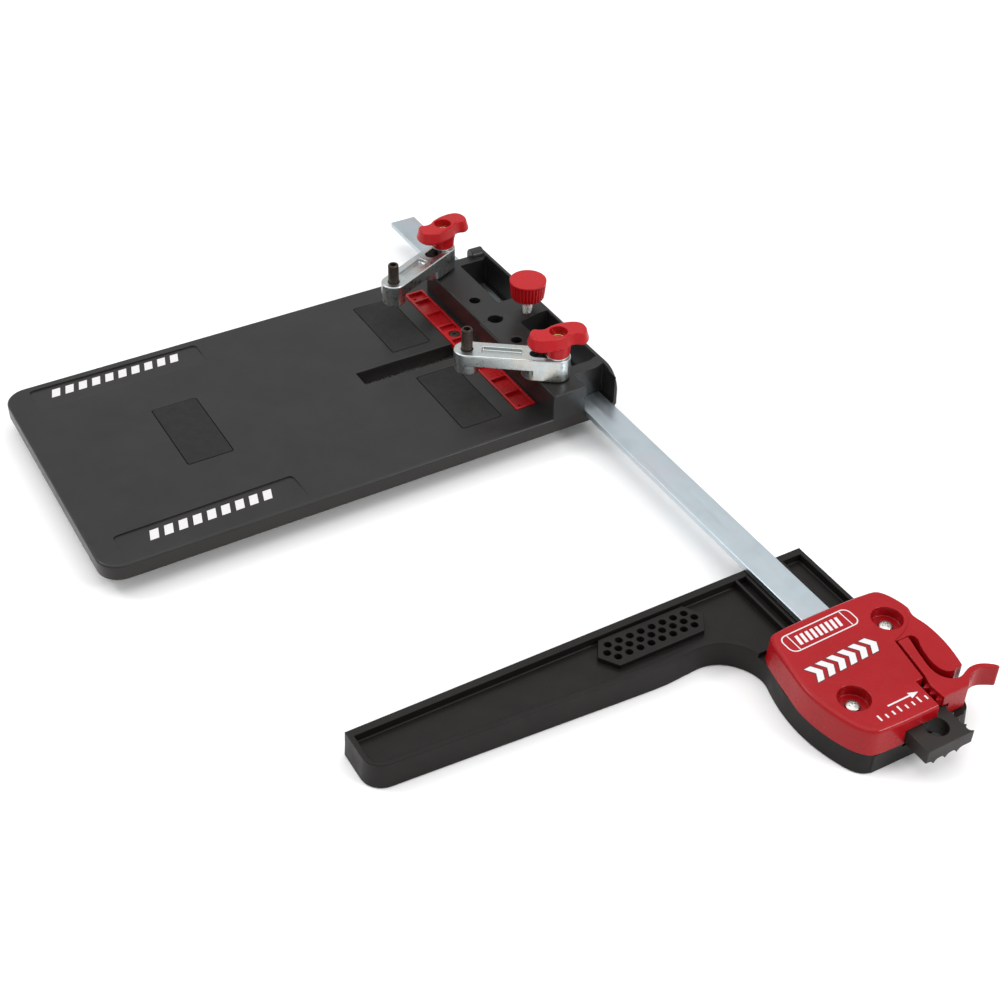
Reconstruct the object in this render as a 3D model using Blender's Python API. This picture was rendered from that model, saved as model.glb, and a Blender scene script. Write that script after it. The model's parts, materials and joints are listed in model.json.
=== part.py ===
"""Saw guide: a base plate that carries a saw, a flat bar, and an edge fence with a micro-adjust rack."""
import math

import bmesh
import bpy
from mathutils import Matrix, Vector

# All lengths are in millimetres, measured from the plate's near left bottom corner:
# X runs along the plate towards the bar, Y runs away from the fence, Z is up.
MM = 0.001
ORIGIN_X, ORIGIN_Y, ORIGIN_Z = 145.0, 94.2, 10.0     # centre of the area the saw stands on
GAP = 0.3                      # running gap between pieces that touch

# Base plate
PLATE_WIDTH = 188.4            # along Y
PLATE_THICK = 10.0
PLATE_CORNER = 14.0
PLATE_SKIN = 3.0
BASE_RIGHT = 332.0
SLOT = (202.0, 284.0, 89.0, 103.0)
PAD_DEPTH = 1.2
PAD_GROOVE = 0.4
PADS = {"grip_pad_mid": (75.0, 104.0, 66.5, 128.0),
        "grip_pad_far": (233.0, 260.5, 112.0, 171.0),
        "grip_pad_near": (233.0, 260.5, 19.0, 80.5)}

# Red ladder insert beside the block
INSERT = (271.0, 285.0, 20.0, 169.6)
INSERT_TOP = 10.7
INSERT_BOTTOM = 7.3
INSERT_FLOOR = 8.3
INSERT_WALL = 1.6
RUNG_PITCH = 17.2
INSERT_SCREW = (278.0, 111.5)

# Bar block
BLOCK_LEFT_NEAR = 285.6
BLOCK_LEFT_FAR = 287.4
BLOCK_TOP_NEAR = 27.4
BLOCK_TOP_FAR = 26.6
BLOCK_SPLIT = 92.4
BLOCK_FAR = 169.5
RAIL_LEFT = 329.4
RAIL_TOP_NEAR = 29.8
RAIL_TOP_FAR = 29.4
RAIL_FAR = 173.5
LUG_TOP = 31.3
RAIL_ROUND = 14.0
WINDOW_NEAR = (309.4, 329.4, 22.5, 80.7)
WINDOW_FAR = (309.4, 329.4, 108.7, 160.7)
MOUTH = (308.2, 329.4, -1.0, 14.0)
SPARE_HOLES = ((297.0, 118.4, 3.6), (297.3, 92.1, 5.0), (297.0, 64.3, 3.6))

# Flat bar and rack
BAR_CENTRE = 318.5
BAR_WIDTH = 19.0
BAR_BOTTOM, BAR_TOP = 4.6, 8.3
BAR_FAR, BAR_NEAR = 264.0, -291.0
RACK_LEFT, RACK_RIGHT = 303.6, 333.0
RACK_NEAR, RACK_FAR = -316.6, -262.0
RACK_BOTTOM, RACK_TOP = 1.9, 10.1
RACK_PITCH = 4.6
RACK_TOOTH = 1.9
KEEL_BOTTOM = -0.6             # lowest edge of the ridges under the rack
KEEL_CUSPS = (309.0, 316.6, 324.2)
KEEL_PITCH = 7.6
PIVOT_HOLE = (318.6, -305.6, 6.2)
RIVET = (318.5, -276.0, 2.5)

# Edge fence
FENCE_FACE = -162.4
FENCE_LEFT, FENCE_RIGHT = 64.6, 349.2
FENCE_BOTTOM = -10.7
HEAD_NEAR = -300.6
FENCE_RIM = 4.4
FENCE_FLOOR = -0.2
FENCE_WALL = 3.0
SEAM = 1.6                     # top of the fence's head, under the cover
COVER_FAR = -218.6
COVER_TOP = 18.0
COVER_ROOF = 10.6              # underside of the cover's top over the rack
COVER_SCREWS = ((289.7, -276.1), (341.7, -240.1))
RECESS_RADIUS = 8.5
RECESS_FLOOR = 11.5
HIVE_ROWS = ((8, 213.1, -172.9), (9, 209.5, -177.9), (8, 213.1, -182.9))
HIVE_PITCH = 6.92
HIVE_TOP = 2.6
LEVER_HINGE = (340.2, -255.0)
BLADE_BOTTOM = 3.8

# Clamp arms
ARM_RADIUS = 8.2
ARM_TOP, ARM_UNDER, ARM_FOOT, PIN_FOOT = 43.0, 35.0, 27.7, 27.7
ARM_SLIDE = 13.0               # travel of the bolt in its slot
# bolt position, bolt to pin distance, direction of the pin in degrees, pin top, wing direction
CLAMPS = {"near": ((298.2, 18.1), 55.47, 143.75, 57.5, -13.0),
          "far": ((298.4, 164.8), 54.34, 205.8, 55.6, 8.0)}
PIN_RADIUS = 3.55
PIN_LENGTH = 30.0
BOLT_RADIUS, BOLT_TOP = 3.0, 52.6
SPACER_RADIUS = 3.7
SLOT_HALF = 4.0
WASHER_THICK = 1.0
WING_HUB_FOOT, WING_HUB = 7.4, 8.6
WING_UNDER, WING_TOP = 51.6, 60.4
# one lobe of the wing at its widest; the other is the same, half a turn on
WING_LOBE = [(7.0, -7.5), (9.5, -7.5), (12.6, -8.4), (15.6, -7.3), (18.1, -4.6), (19.3, -1.2),
             (19.3, 2.1), (18.5, 5.1), (16.2, 7.8), (13.3, 9.3), (10.0, 10.0), (6.6, 10.2),
             (3.3, 10.0), (0.0, 9.3), (-3.6, 8.3)]
WING_HOLE, WING_HOLE_DEPTH = 5.5, 4.6

# Thumb screw over the bar
THUMB = (318.5, 87.5)
THUMB_TOP, THUMB_UNDER = 53.0, 39.7
THUMB_RADIUS = 11.9
STUD_RADIUS = 3.3
FLUTES = 32


# ---------------------------------------------------------------- outlines
def circle(x, y, radius, count=24, start=0.0):
    turn = math.tau / count
    return [(x + radius * math.cos(start + i * turn), y + radius * math.sin(start + i * turn))
            for i in range(count)]


def rectangle(x0, x1, y0, y1):
    return [(x0, y0), (x1, y0), (x1, y1), (x0, y1)]


def rounded(corners, steps=5):
    """Round a closed outline given as (x, y, radius) corners."""
    result = []
    count = len(corners)
    for i, (x, y, radius) in enumerate(corners):
        here = Vector((x, y))
        before = (Vector(corners[i - 1][:2]) - here).normalized()
        after = (Vector(corners[(i + 1) % count][:2]) - here).normalized()
        if radius <= 0.0:
            result.append((x, y))
            continue
        half = before.angle(after) / 2.0
        reach = radius / math.tan(half)
        centre = here + (before + after).normalized() * (radius / math.sin(half))
        first = here + before * reach - centre
        last = here + after * reach - centre
        sweep = first.angle_signed(last)
        for k in range(steps + 1):
            part = Matrix.Rotation(-sweep * k / steps, 2) @ first
            result.append((centre.x + part.x, centre.y + part.y))
    return result


def stadium(x0, x1, y, radius, steps=8):
    right = [(x1 + radius * math.sin(math.pi * k / steps), y - radius * math.cos(math.pi * k / steps))
             for k in range(steps + 1)]
    left = [(x0 - radius * math.sin(math.pi * k / steps), y + radius * math.cos(math.pi * k / steps))
            for k in range(steps + 1)]
    return right + left


def inset(outline, distance):
    """Move every side of a counter-clockwise outline inwards by a distance."""
    count = len(outline)
    result = []
    for i in range(count):
        before, here, after = (Vector(outline[(i + k) % count]) for k in (-1, 0, 1))
        along_in = (here - before).normalized()
        along_out = (after - here).normalized()
        normal_in = Vector((-along_in.y, along_in.x))
        normal_out = Vector((-along_out.y, along_out.x))
        bisector = (normal_in + normal_out).normalized()
        reach = distance / max(bisector.dot(normal_in), 0.5)
        point = here + bisector * reach
        result.append((point.x, point.y))
    return result


# ---------------------------------------------------------------- solids
def new_object(name, verts, faces, material=None):
    mesh = bpy.data.meshes.new(name)
    mesh.from_pydata([((x - ORIGIN_X) * MM, (y - ORIGIN_Y) * MM, (z - ORIGIN_Z) * MM) for x, y, z in verts],
                     [], faces)
    work = bmesh.new()
    work.from_mesh(mesh)
    bmesh.ops.recalc_face_normals(work, faces=work.faces)
    work.to_mesh(mesh)
    work.free()
    thing = bpy.data.objects.new(name, mesh)
    bpy.context.scene.collection.objects.link(thing)
    if material is not None:
        mesh.materials.append(material)
    return thing


def loft(name, sections, material=None):
    """Stack outlines with the same number of points; each section is (z, outline)."""
    count = len(sections[0][1])
    verts = [(x, y, z) for z, outline in sections for x, y in outline]
    faces = [tuple(reversed(range(count)))]
    for level in range(len(sections) - 1):
        low, high = level * count, (level + 1) * count
        faces += [(low + i, low + (i + 1) % count, high + (i + 1) % count, high + i) for i in range(count)]
    faces.append(tuple(range((len(sections) - 1) * count, len(sections) * count)))
    return new_object(name, verts, faces, material)


def prism(name, outline, z0, z1, material=None, bottom=0.0, top=0.0):
    """Straight prism with optional chamfers on its two rims."""
    sections = []
    if bottom:
        sections.append((z0, inset(outline, bottom)))
    sections.append((z0 + bottom, outline))
    sections.append((z1 - top, outline))
    if top:
        sections.append((z1, inset(outline, top)))
    return loft(name, sections, material)


def cylinder(name, x, y, radius, z0, z1, material=None, count=24, bottom=0.0, top=0.0):
    return prism(name, circle(x, y, radius, count), z0, z1, material, bottom, top)


def box(name, x0, x1, y0, y1, z0, z1, material=None):
    return prism(name, rectangle(x0, x1, y0, y1), z0, z1, material)


def boxes(name, extents):
    """Several separate boxes in one mesh, used as one cutter."""
    verts, faces = [], []
    for x0, x1, y0, y1, z0, z1 in extents:
        start = len(verts)
        verts += [(x, y, z) for z in (z0, z1) for x, y in rectangle(x0, x1, y0, y1)]
        quads = [(3, 2, 1, 0), (4, 5, 6, 7)] + [(i, (i + 1) % 4, (i + 1) % 4 + 4, i + 4) for i in range(4)]
        faces += [tuple(start + v for v in quad) for quad in quads]
    return new_object(name, verts, faces)


def columns(name, centres, radius, z0, z1, count=12):
    """Several separate round columns in one mesh, used as one cutter."""
    verts, faces = [], []
    for x, y in centres:
        start = len(verts)
        ring = circle(x, y, radius, count)
        verts += [(px, py, z) for z in (z0, z1) for px, py in ring]
        faces.append(tuple(start + v for v in reversed(range(count))))
        faces.append(tuple(start + count + v for v in range(count)))
        faces += [(start + i, start + (i + 1) % count, start + count + (i + 1) % count, start + count + i)
                  for i in range(count)]
    return new_object(name, verts, faces)


def bar_along(name, profile, start, end, axis, material=None):
    """Extrude a profile along X (profile in Y, Z) or along Y (profile in X, Z)."""
    count = len(profile)
    if axis == "X":
        verts = [(s, a, b) for s in (start, end) for a, b in profile]
    else:
        verts = [(a, s, b) for s in (start, end) for a, b in profile]
    faces = [tuple(reversed(range(count))), tuple(range(count, 2 * count))]
    faces += [(i, (i + 1) % count, count + (i + 1) % count, count + i) for i in range(count)]
    return new_object(name, verts, faces, material)


def combine(target, tool, operation):
    """Apply an exact Boolean and remove the tool."""
    tool.hide_render = True
    tool.display_type = "WIRE"
    step = target.modifiers.new("combine", "BOOLEAN")
    step.operation = operation
    step.solver = "EXACT"
    step.object = tool
    graph = bpy.context.evaluated_depsgraph_get()
    mesh = bpy.data.meshes.new_from_object(target.evaluated_get(graph))
    old = target.data
    target.modifiers.clear()
    target.data = mesh
    mesh.name = target.name
    bpy.data.meshes.remove(old)
    bpy.data.objects.remove(tool)
    return target


def cut(target, *tools):
    for tool in tools:
        combine(target, tool, "DIFFERENCE")
    return target


def join(target, *tools):
    for tool in tools:
        combine(target, tool, "UNION")
    return target


def finish(thing, pivot=None):
    """Clean the mesh, shade round faces smooth and put the origin on the piece's axis."""
    work = bmesh.new()
    work.from_mesh(thing.data)
    bmesh.ops.remove_doubles(work, verts=work.verts, dist=2e-6)
    bmesh.ops.dissolve_degenerate(work, edges=work.edges, dist=2e-6)
    bmesh.ops.dissolve_limit(work, angle_limit=math.radians(0.2), verts=work.verts, edges=work.edges)
    bmesh.ops.triangulate(work, faces=[face for face in work.faces if len(face.verts) > 4])
    bmesh.ops.recalc_face_normals(work, faces=work.faces)
    work.to_mesh(thing.data)
    work.free()
    for face in thing.data.polygons:
        face.use_smooth = True
    thing.data.set_sharp_from_angle(angle=math.radians(35.0))
    if pivot is not None:
        place = Vector(((pivot[0] - ORIGIN_X) * MM, (pivot[1] - ORIGIN_Y) * MM, (pivot[2] - ORIGIN_Z) * MM))
        thing.data.transform(Matrix.Translation(-place))
        thing.location = place
    return thing


def turned(outline, centre, degrees):
    """Turn an outline drawn about the origin and move it to a centre."""
    cos, sin = math.cos(math.radians(degrees)), math.sin(math.radians(degrees))
    return [(centre[0] + x * cos - y * sin, centre[1] + x * sin + y * cos) for x, y in outline]


def material(name, colour, metallic=0.0, roughness=0.5):
    made = bpy.data.materials.new(name)
    made.use_nodes = True
    shader = made.node_tree.nodes["Principled BSDF"]
    shader.inputs["Base Color"].default_value = (*colour, 1.0)
    shader.inputs["Metallic"].default_value = metallic
    shader.inputs["Roughness"].default_value = roughness
    made.diffuse_color = (*colour, 1.0)
    return made


# ---------------------------------------------------------------- base plate
def build_base_plate():
    outline = rounded([(0.0, 0.0, PLATE_CORNER), (BASE_RIGHT, 0.0, 1.5),
                       (BASE_RIGHT, PLATE_WIDTH, 8.0), (0.0, PLATE_WIDTH, PLATE_CORNER)])
    plate = loft("base_plate", [(0.0, inset(outline, 0.7)), (0.7, outline), (PLATE_THICK - 1.0, outline),
                                (PLATE_THICK - 0.3, inset(outline, 0.3)),
                                (PLATE_THICK, inset(outline, 1.0))],
                 material("plate_plastic", (0.055, 0.055, 0.058), roughness=0.55))
    low = PLATE_THICK - 2.0
    join(plate,
         prism("near_half", rounded([(BLOCK_LEFT_NEAR, 0.0, 0.6), (RAIL_LEFT + 0.6, 0.0, 0.0),
                                     (RAIL_LEFT + 0.6, BLOCK_SPLIT, 0.0),
                                     (BLOCK_LEFT_NEAR, BLOCK_SPLIT, 0.6)], 2),
               low, BLOCK_TOP_NEAR, top=0.5),
         prism("far_half", rounded([(BLOCK_LEFT_FAR, BLOCK_SPLIT - 2.0, 0.0),
                                    (RAIL_LEFT + 0.6, BLOCK_SPLIT - 2.0, 0.0),
                                    (RAIL_LEFT + 0.6, BLOCK_FAR, 0.0),
                                    (BLOCK_LEFT_FAR, BLOCK_FAR, 1.5)], 3),
               low, BLOCK_TOP_FAR, top=0.5))
    near_arc = [(RAIL_ROUND * (1 - math.cos(a)), RAIL_TOP_NEAR - RAIL_ROUND * (1 - math.sin(a)))
                for a in (math.radians(15.0 * k) for k in range(7))]
    far_arc = [(RAIL_FAR - 5.0 + 5.0 * math.sin(a), RAIL_TOP_FAR - 5.0 + 5.0 * math.cos(a))
               for a in (math.radians(22.5 * k) for k in range(5))]
    rail = [(0.0, low)] + near_arc + [(BLOCK_SPLIT, RAIL_TOP_NEAR), (BLOCK_SPLIT, RAIL_TOP_FAR)] + far_arc
    rail.append((RAIL_FAR, low))
    join(plate, bar_along("rail", rail, RAIL_LEFT, BASE_RIGHT, "X"))
    lug = [(RAIL_FAR, low), (RAIL_FAR, LUG_TOP - 4.6)]
    lug += [(RAIL_FAR - 4.6 + 4.6 * math.cos(a), LUG_TOP - 4.6 + 4.6 * math.sin(a))
            for a in (math.radians(30.0 * k) for k in range(1, 7))]
    lug.append((RAIL_FAR - 9.2, low))
    join(plate, bar_along("lug", lug, 321.6, RAIL_LEFT + 0.6, "X"))
    hump = [(303.5, 24.0), (BASE_RIGHT, 24.0), (BASE_RIGHT, 30.2), (327.0, 30.2), (310.5, 29.2),
            (303.5, 27.2)]
    join(plate, bar_along("hump", hump, WINDOW_NEAR[3], BLOCK_SPLIT + 0.01, "Y"))

    half = BAR_WIDTH / 2.0 + 0.4
    cut(plate,
        box("bar_channel", BAR_CENTRE - half, BAR_CENTRE + half, -5.0, PLATE_WIDTH + 5.0,
            BAR_BOTTOM - GAP, BAR_TOP + GAP),
        box("mouth", *MOUTH, BAR_TOP, 40.0),
        box("near_window", *WINDOW_NEAR, BAR_TOP, 40.0),
        box("far_window", *WINDOW_FAR, BAR_TOP, 40.0),
        box("blade_slot", *SLOT, -1.0, PLATE_THICK + 0.9),
        box("insert_pocket", INSERT[0] - GAP, INSERT[1] + GAP, INSERT[2] - GAP, INSERT[3] + GAP,
            INSERT_BOTTOM - GAP, PLATE_THICK + 0.9),
        cylinder("insert_screw_hole", *INSERT_SCREW, 1.7, 2.0, 9.0, count=12))
    for name, (x0, x1, y0, y1) in PADS.items():
        corners = [(x0, y0, 1.5), (x1, y0, 1.5), (x1, y1, 1.5), (x0, y1, 1.5)]
        cut(plate, prism("pad_pocket", rounded(corners, 2),
                         PLATE_THICK - PAD_DEPTH, PLATE_THICK + 1.0))

    hollows = []
    rows = ((7.0, 47.0), (50.0, 87.0), (105.0, 141.0), (144.0, PLATE_WIDTH - 7.0))
    ceiling = PLATE_THICK - PLATE_SKIN - PAD_DEPTH
    bays = (7.0, 45.5, 84.0, 122.5, 161.0)
    for y0, y1 in rows:
        hollows += [(x, x + 35.5, y0, y1, -1.0, ceiling) for x in bays]
        hollows += [(x, x + 30.0, y0, y1, -1.0, ceiling) for x in (205.0, 238.0)]
    hollows += [(x, x + 35.5, 90.0, 102.0, -1.0, ceiling) for x in bays[:-1]]
    cut(plate, boxes("hollows", hollows))

    for x, y, radius in SPARE_HOLES:
        cut(plate, cylinder("spare_hole", x, y, radius, 3.0, 40.0, count=20))
    for (x, y), span, angle, pin_top, wing_angle in CLAMPS.values():
        cut(plate, cylinder("bolt_hole", x, y, BOLT_RADIUS + GAP, -1.0, 40.0, count=16),
            cylinder("head_recess", x, y, 6.6, -1.0, 5.2, count=20))
    cut(plate, cylinder("stud_hole", *THUMB, STUD_RADIUS + GAP, 6.0, 40.0, count=20),
        cylinder("nut_seat", *THUMB, 5.3, 6.0, 20.0, count=20))
    return finish(plate)


def build_base_trim():
    pad_rubber = material("pad_rubber", (0.028, 0.028, 0.027), roughness=0.85)
    for name, (x0, x1, y0, y1) in PADS.items():
        g = PAD_GROOVE
        corners = [(x0 + g, y0 + g, 1.1), (x1 - g, y0 + g, 1.1), (x1 - g, y1 - g, 1.1),
                   (x0 + g, y1 - g, 1.1)]
        finish(prism(name, rounded(corners, 2), PLATE_THICK - PAD_DEPTH + 0.2, PLATE_THICK + 0.1,
                     pad_rubber))

    x0, x1, y0, y1 = INSERT
    ladder = prism("ladder_insert", rectangle(x0, x1, y0, y1), INSERT_BOTTOM, INSERT_TOP,
                   material("insert_plastic", (0.5, 0.012, 0.022), roughness=0.4))
    screw_x, screw_y = INSERT_SCREW
    pockets = []
    edge = y0 + INSERT_WALL
    while edge < y1 - INSERT_WALL - 1.0:
        end = min(edge + RUNG_PITCH - INSERT_WALL, y1 - INSERT_WALL)
        if end < screw_y - 6.0 or edge > screw_y + 6.0:
            pockets.append((x0 + INSERT_WALL, x1 - INSERT_WALL, edge, end, INSERT_FLOOR, 12.0))
        else:
            pockets += [(x0 + INSERT_WALL, x1 - INSERT_WALL, a, b, INSERT_FLOOR, 12.0)
                        for a, b in ((edge, screw_y - 5.6), (screw_y + 5.6, end)) if b - a > 1.5]
        edge = end + INSERT_WALL
    cut(ladder, boxes("pockets", pockets),
        cylinder("screw_seat", screw_x, screw_y, 3.9, 9.0, 12.0, count=20),
        cylinder("screw_way", screw_x, screw_y, 2.0, 6.0, 10.0, count=16))
    finish(ladder)

    dark_steel = material("dark_steel", (0.035, 0.028, 0.025), 0.8, 0.45)
    screw = cylinder("insert_screw", screw_x, screw_y, 3.5, 9.2, 10.4, dark_steel, 20, top=0.4)
    join(screw, cylinder("shank", screw_x, screw_y, 1.4, 3.0, 9.5, count=12))
    cut(screw, cylinder("socket", screw_x, screw_y, 1.4, 9.6, 11.0, count=6))
    finish(screw)

    steel = material("bolt_steel", (0.62, 0.63, 0.64), 1.0, 0.35)
    for side, ((x, y), span, angle, pin_top, wing_angle) in CLAMPS.items():
        bolt = cylinder("clamp_bolt_" + side, x, y, 5.9, 1.0, 4.9, steel, 6, bottom=0.3)
        join(bolt, cylinder("shank", x, y, BOLT_RADIUS, 3.0, BOLT_TOP, count=16, top=0.5))
        finish(bolt)

    brass = material("nut_brass", (0.62, 0.42, 0.13), 1.0, 0.35)
    nut = cylinder("screw_nut", *THUMB, 5.0, 11.2, 19.7, brass, 20)
    cut(nut, cylinder("bore", *THUMB, STUD_RADIUS + GAP, 6.0, 25.0, count=20))
    finish(nut)


# ---------------------------------------------------------------- bar and rack
def build_bar():
    half = BAR_WIDTH / 2.0
    profile = [(BAR_CENTRE - half, BAR_BOTTOM + 0.4), (BAR_CENTRE - half + 0.4, BAR_BOTTOM),
               (BAR_CENTRE + half - 0.4, BAR_BOTTOM), (BAR_CENTRE + half, BAR_BOTTOM + 0.4),
               (BAR_CENTRE + half, BAR_TOP - 0.4), (BAR_CENTRE + half - 0.4, BAR_TOP),
               (BAR_CENTRE - half + 0.4, BAR_TOP), (BAR_CENTRE - half, BAR_TOP - 0.4)]
    zinc = material("bar_zinc", (0.6, 0.68, 0.7), 1.0, 0.38)
    bar = bar_along("guide_bar", profile, BAR_NEAR, BAR_FAR, "Y", zinc)
    cut(bar, cylinder("rivet_hole", *RIVET[:2], RIVET[2] + GAP, 0.0, 12.0, count=20))
    finish(bar, (BAR_CENTRE, 87.5, BAR_BOTTOM))

    black = material("rack_plastic", (0.035, 0.032, 0.03), roughness=0.6)
    rack = prism("rack", rounded([(RACK_LEFT, RACK_NEAR, 0.5), (RACK_RIGHT, RACK_NEAR, 0.0),
                                  (RACK_RIGHT, RACK_FAR, 0.0), (RACK_LEFT, RACK_FAR, 1.5)], 2),
                 RACK_BOTTOM, RACK_TOP, black, top=0.3)
    radius = (RACK_PITCH ** 2 / 4.0 + RACK_TOOTH ** 2) / (2.0 * RACK_TOOTH)
    valleys = int((RACK_FAR - RACK_NEAR) / RACK_PITCH)
    centres = [(RACK_RIGHT - RACK_TOOTH + radius, RACK_NEAR + RACK_PITCH * (0.62 + k))
               for k in range(valleys)]
    for centre in centres:
        cut(rack, cylinder("valley", *centre, radius, 0.0, 12.0, count=16))
    depth = RACK_BOTTOM - KEEL_BOTTOM
    half_pitch = KEEL_PITCH / 2.0
    flute = ((half_pitch - 0.2) ** 2 + depth ** 2) / (2.0 * depth)
    keel = box("keel", KEEL_CUSPS[0] - half_pitch, KEEL_CUSPS[-1] + half_pitch, RACK_NEAR, RACK_FAR,
               KEEL_BOTTOM, RACK_BOTTOM + 0.5)
    for x in (KEEL_CUSPS[0] - half_pitch, *(cusp + half_pitch for cusp in KEEL_CUSPS)):
        ring = circle(x, RACK_BOTTOM - flute, flute)
        cut(keel, bar_along("flute", ring, RACK_NEAR - 2.0, RACK_FAR + 2.0, "Y"))
    join(rack, keel)
    cut(rack,
        box("bar_socket", BAR_CENTRE - half - 0.2, BAR_CENTRE + half + 0.2, BAR_NEAR - 0.3,
            RACK_FAR + 2.0, BAR_BOTTOM - 0.2, BAR_TOP + 0.2),
        cylinder("rivet_hole", *RIVET[:2], RIVET[2] + GAP, KEEL_BOTTOM - 1.0, 12.0, count=20),
        cylinder("pivot_hole", *PIVOT_HOLE, KEEL_BOTTOM - 1.0, 12.0, count=32))
    finish(rack)
    steel = material("rivet_steel", (0.5, 0.5, 0.5), 1.0, 0.4)
    finish(cylinder("rack_rivet", *RIVET, 4.0, RACK_TOP - 0.1, steel, 20, top=0.3))


# ---------------------------------------------------------------- edge fence
def fence_outline(corner=1.2):
    """Plan of the fence: a straight far face, a tapering arm and a rounded head."""
    arm = [(FENCE_LEFT, FENCE_FACE, corner), (FENCE_LEFT, -192.2, 12.0), (205.0, -200.9, 0.0),
           (231.0, -202.1, 0.0)]
    crook = [(246.0, -201.2), (254.5, -200.9), (261.5, -202.5), (267.5, -206.2), (272.4, -212.0),
             (275.6, -219.0)]
    head = [(276.3, -226.5), (274.2, -234.5), (271.8, -245.0), (270.4, -259.0), (271.1, -272.0),
            (273.8, -284.5), (277.2, -293.8), (280.4, -298.2), (284.6, HEAD_NEAR + 0.2),
            (289.0, HEAD_NEAR), (341.0, HEAD_NEAR), (346.3, -298.9), (350.0, -295.4),
            (354.2, -283.5), (357.8, -268.0), (359.0, -252.0), (358.0, -236.0), (355.0, -224.5),
            (349.2, -217.5)]
    return rounded(arm + [(x, y, 0.0) for x, y in crook + head] + [(FENCE_RIGHT, FENCE_FACE, corner)], 4)


def square_faced(outline, distance):
    """Inset the outline but keep the working face and the near end upright."""
    return [(moved[0], y if y > FENCE_FACE - 1.3 or y < HEAD_NEAR + 0.1 else moved[1])
            for (x, y), moved in zip(outline, inset(outline, distance))]


def cover_outline():
    return [(284.0, COVER_FAR), (280.2, -220.0), (277.7, -223.9), (275.2, -234.0), (272.8, -247.0),
            (270.9, -260.0), (271.7, -273.0), (274.6, -285.3), (279.0, -295.0), (283.8, -299.6),
            (290.4, -300.9), (341.0, -300.9), (346.3, -299.4), (349.6, -295.4), (353.6, -283.5),
            (357.4, -268.0), (358.8, -252.0), (358.0, -236.0), (355.2, -225.0), (351.8, -220.4),
            (346.5, COVER_FAR)]


def hive_centres():
    return [(x + k * HIVE_PITCH, y) for count, x, y in HIVE_ROWS for k in range(count)]


def build_fence():
    outline = fence_outline()
    square = fence_outline(0.0)
    black = material("fence_plastic", (0.04, 0.037, 0.035), roughness=0.5)
    draft = 1.4
    fence = loft("fence_body", [(FENCE_BOTTOM, square_faced(outline, 0.4)), (FENCE_BOTTOM + 0.5, outline),
                                (FENCE_RIM - 0.8, square_faced(outline, draft)),
                                (FENCE_RIM, square_faced(outline, draft + 0.8))], black)
    cut(fence, box("head_top", 240.0, 380.0, -320.0, COVER_FAR + GAP, SEAM, 10.0))
    tray = prism("tray", inset(square, FENCE_WALL + 0.6), FENCE_FLOOR, 10.0)
    cut(tray, box("head_side", 240.0, 380.0, -320.0, COVER_FAR + 0.6, -5.0, 12.0))
    cut(fence, tray)
    cut(fence, box("rack_groove", RACK_LEFT - 0.6, RACK_RIGHT + 0.6, -330.0, -246.0,
                   KEEL_BOTTOM - GAP, 4.0))
    # ribs and bed under the bar
    left, right = BAR_CENTRE - 11.3, BAR_CENTRE + 11.3
    join(fence,
         box("bed", left, right, COVER_FAR + GAP, FENCE_FACE - 1.0, -3.0, BAR_BOTTOM - 0.4),
         box("left_rib", left - 7.2, left - 5.4, COVER_FAR + GAP, FENCE_FACE - 1.0,
             -3.0, BAR_BOTTOM - 0.6),
         box("right_rib", right + 1.6, right + 3.2, COVER_FAR + GAP, FENCE_FACE - 1.0,
             -3.0, BAR_BOTTOM - 0.6))
    hexagon = [(203.4, -178.2), (210.3, -188.8), (264.0, -188.8), (270.6, -178.2), (264.0, -167.6),
               (210.3, -167.6)]
    join(fence, prism("hive_block", hexagon, -3.0, HIVE_TOP, top=0.4))
    cut(fence, columns("hive", hive_centres(), 2.1, -14.0, 8.0, 10))

    # hollow underside with cross ribs
    hollow = prism("hollow", inset(square, FENCE_WALL + 1.0), FENCE_BOTTOM - 2.0, FENCE_FLOOR - 2.8)
    ribs = [(x, x + 2.0, -230.0, -150.0, -14.0, 0.0)
            for x in (97.0, 130.0, 163.0, 196.0, 274.0, 301.0, 334.0)]
    ribs += [(240.0, 380.0, -221.0, -216.0, -14.0, 0.0), (301.0, 334.0, -310.0, -221.0, -14.0, 0.0),
             (240.0, 301.0, -285.0, -267.5, -14.0, 0.0), (334.0, 380.0, -249.0, -231.0, -14.0, 0.0)]
    for rib in ribs:
        cut(hollow, box("rib", *rib))
    cut(fence, hollow)
    for x, y in COVER_SCREWS:
        cut(fence, cylinder("screw_hole", x, y, 2.0 + GAP, -6.0, 10.0, count=16))
    return finish(fence, (BAR_CENTRE, -259.0, SEAM))


def lever_outline():
    root = [(337.8, -255.3), (342.6, -255.3)]
    right = [(342.6, -259.0), (339.6, -269.5), (337.4, -279.0), (338.4, -285.6), (341.6, -289.0),
             (346.0, -290.0)]
    blade = [(349.5, -289.2), (353.0, -287.7), (357.0, -287.0), (361.0, -287.6), (365.0, -289.6),
             (368.6, -292.6), (369.0, -294.0), (367.8, -294.9), (364.0, -292.8), (360.6, -290.9),
             (357.4, -290.2), (353.8, -291.0), (350.2, -293.0), (347.0, -295.8), (345.4, -296.9)]
    left = [(329.6, -296.9), (329.2, -287.2), (332.8, -280.5), (337.4, -258.6)]
    return root[::-1] + left[::-1] + blade[::-1] + right[::-1]


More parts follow.
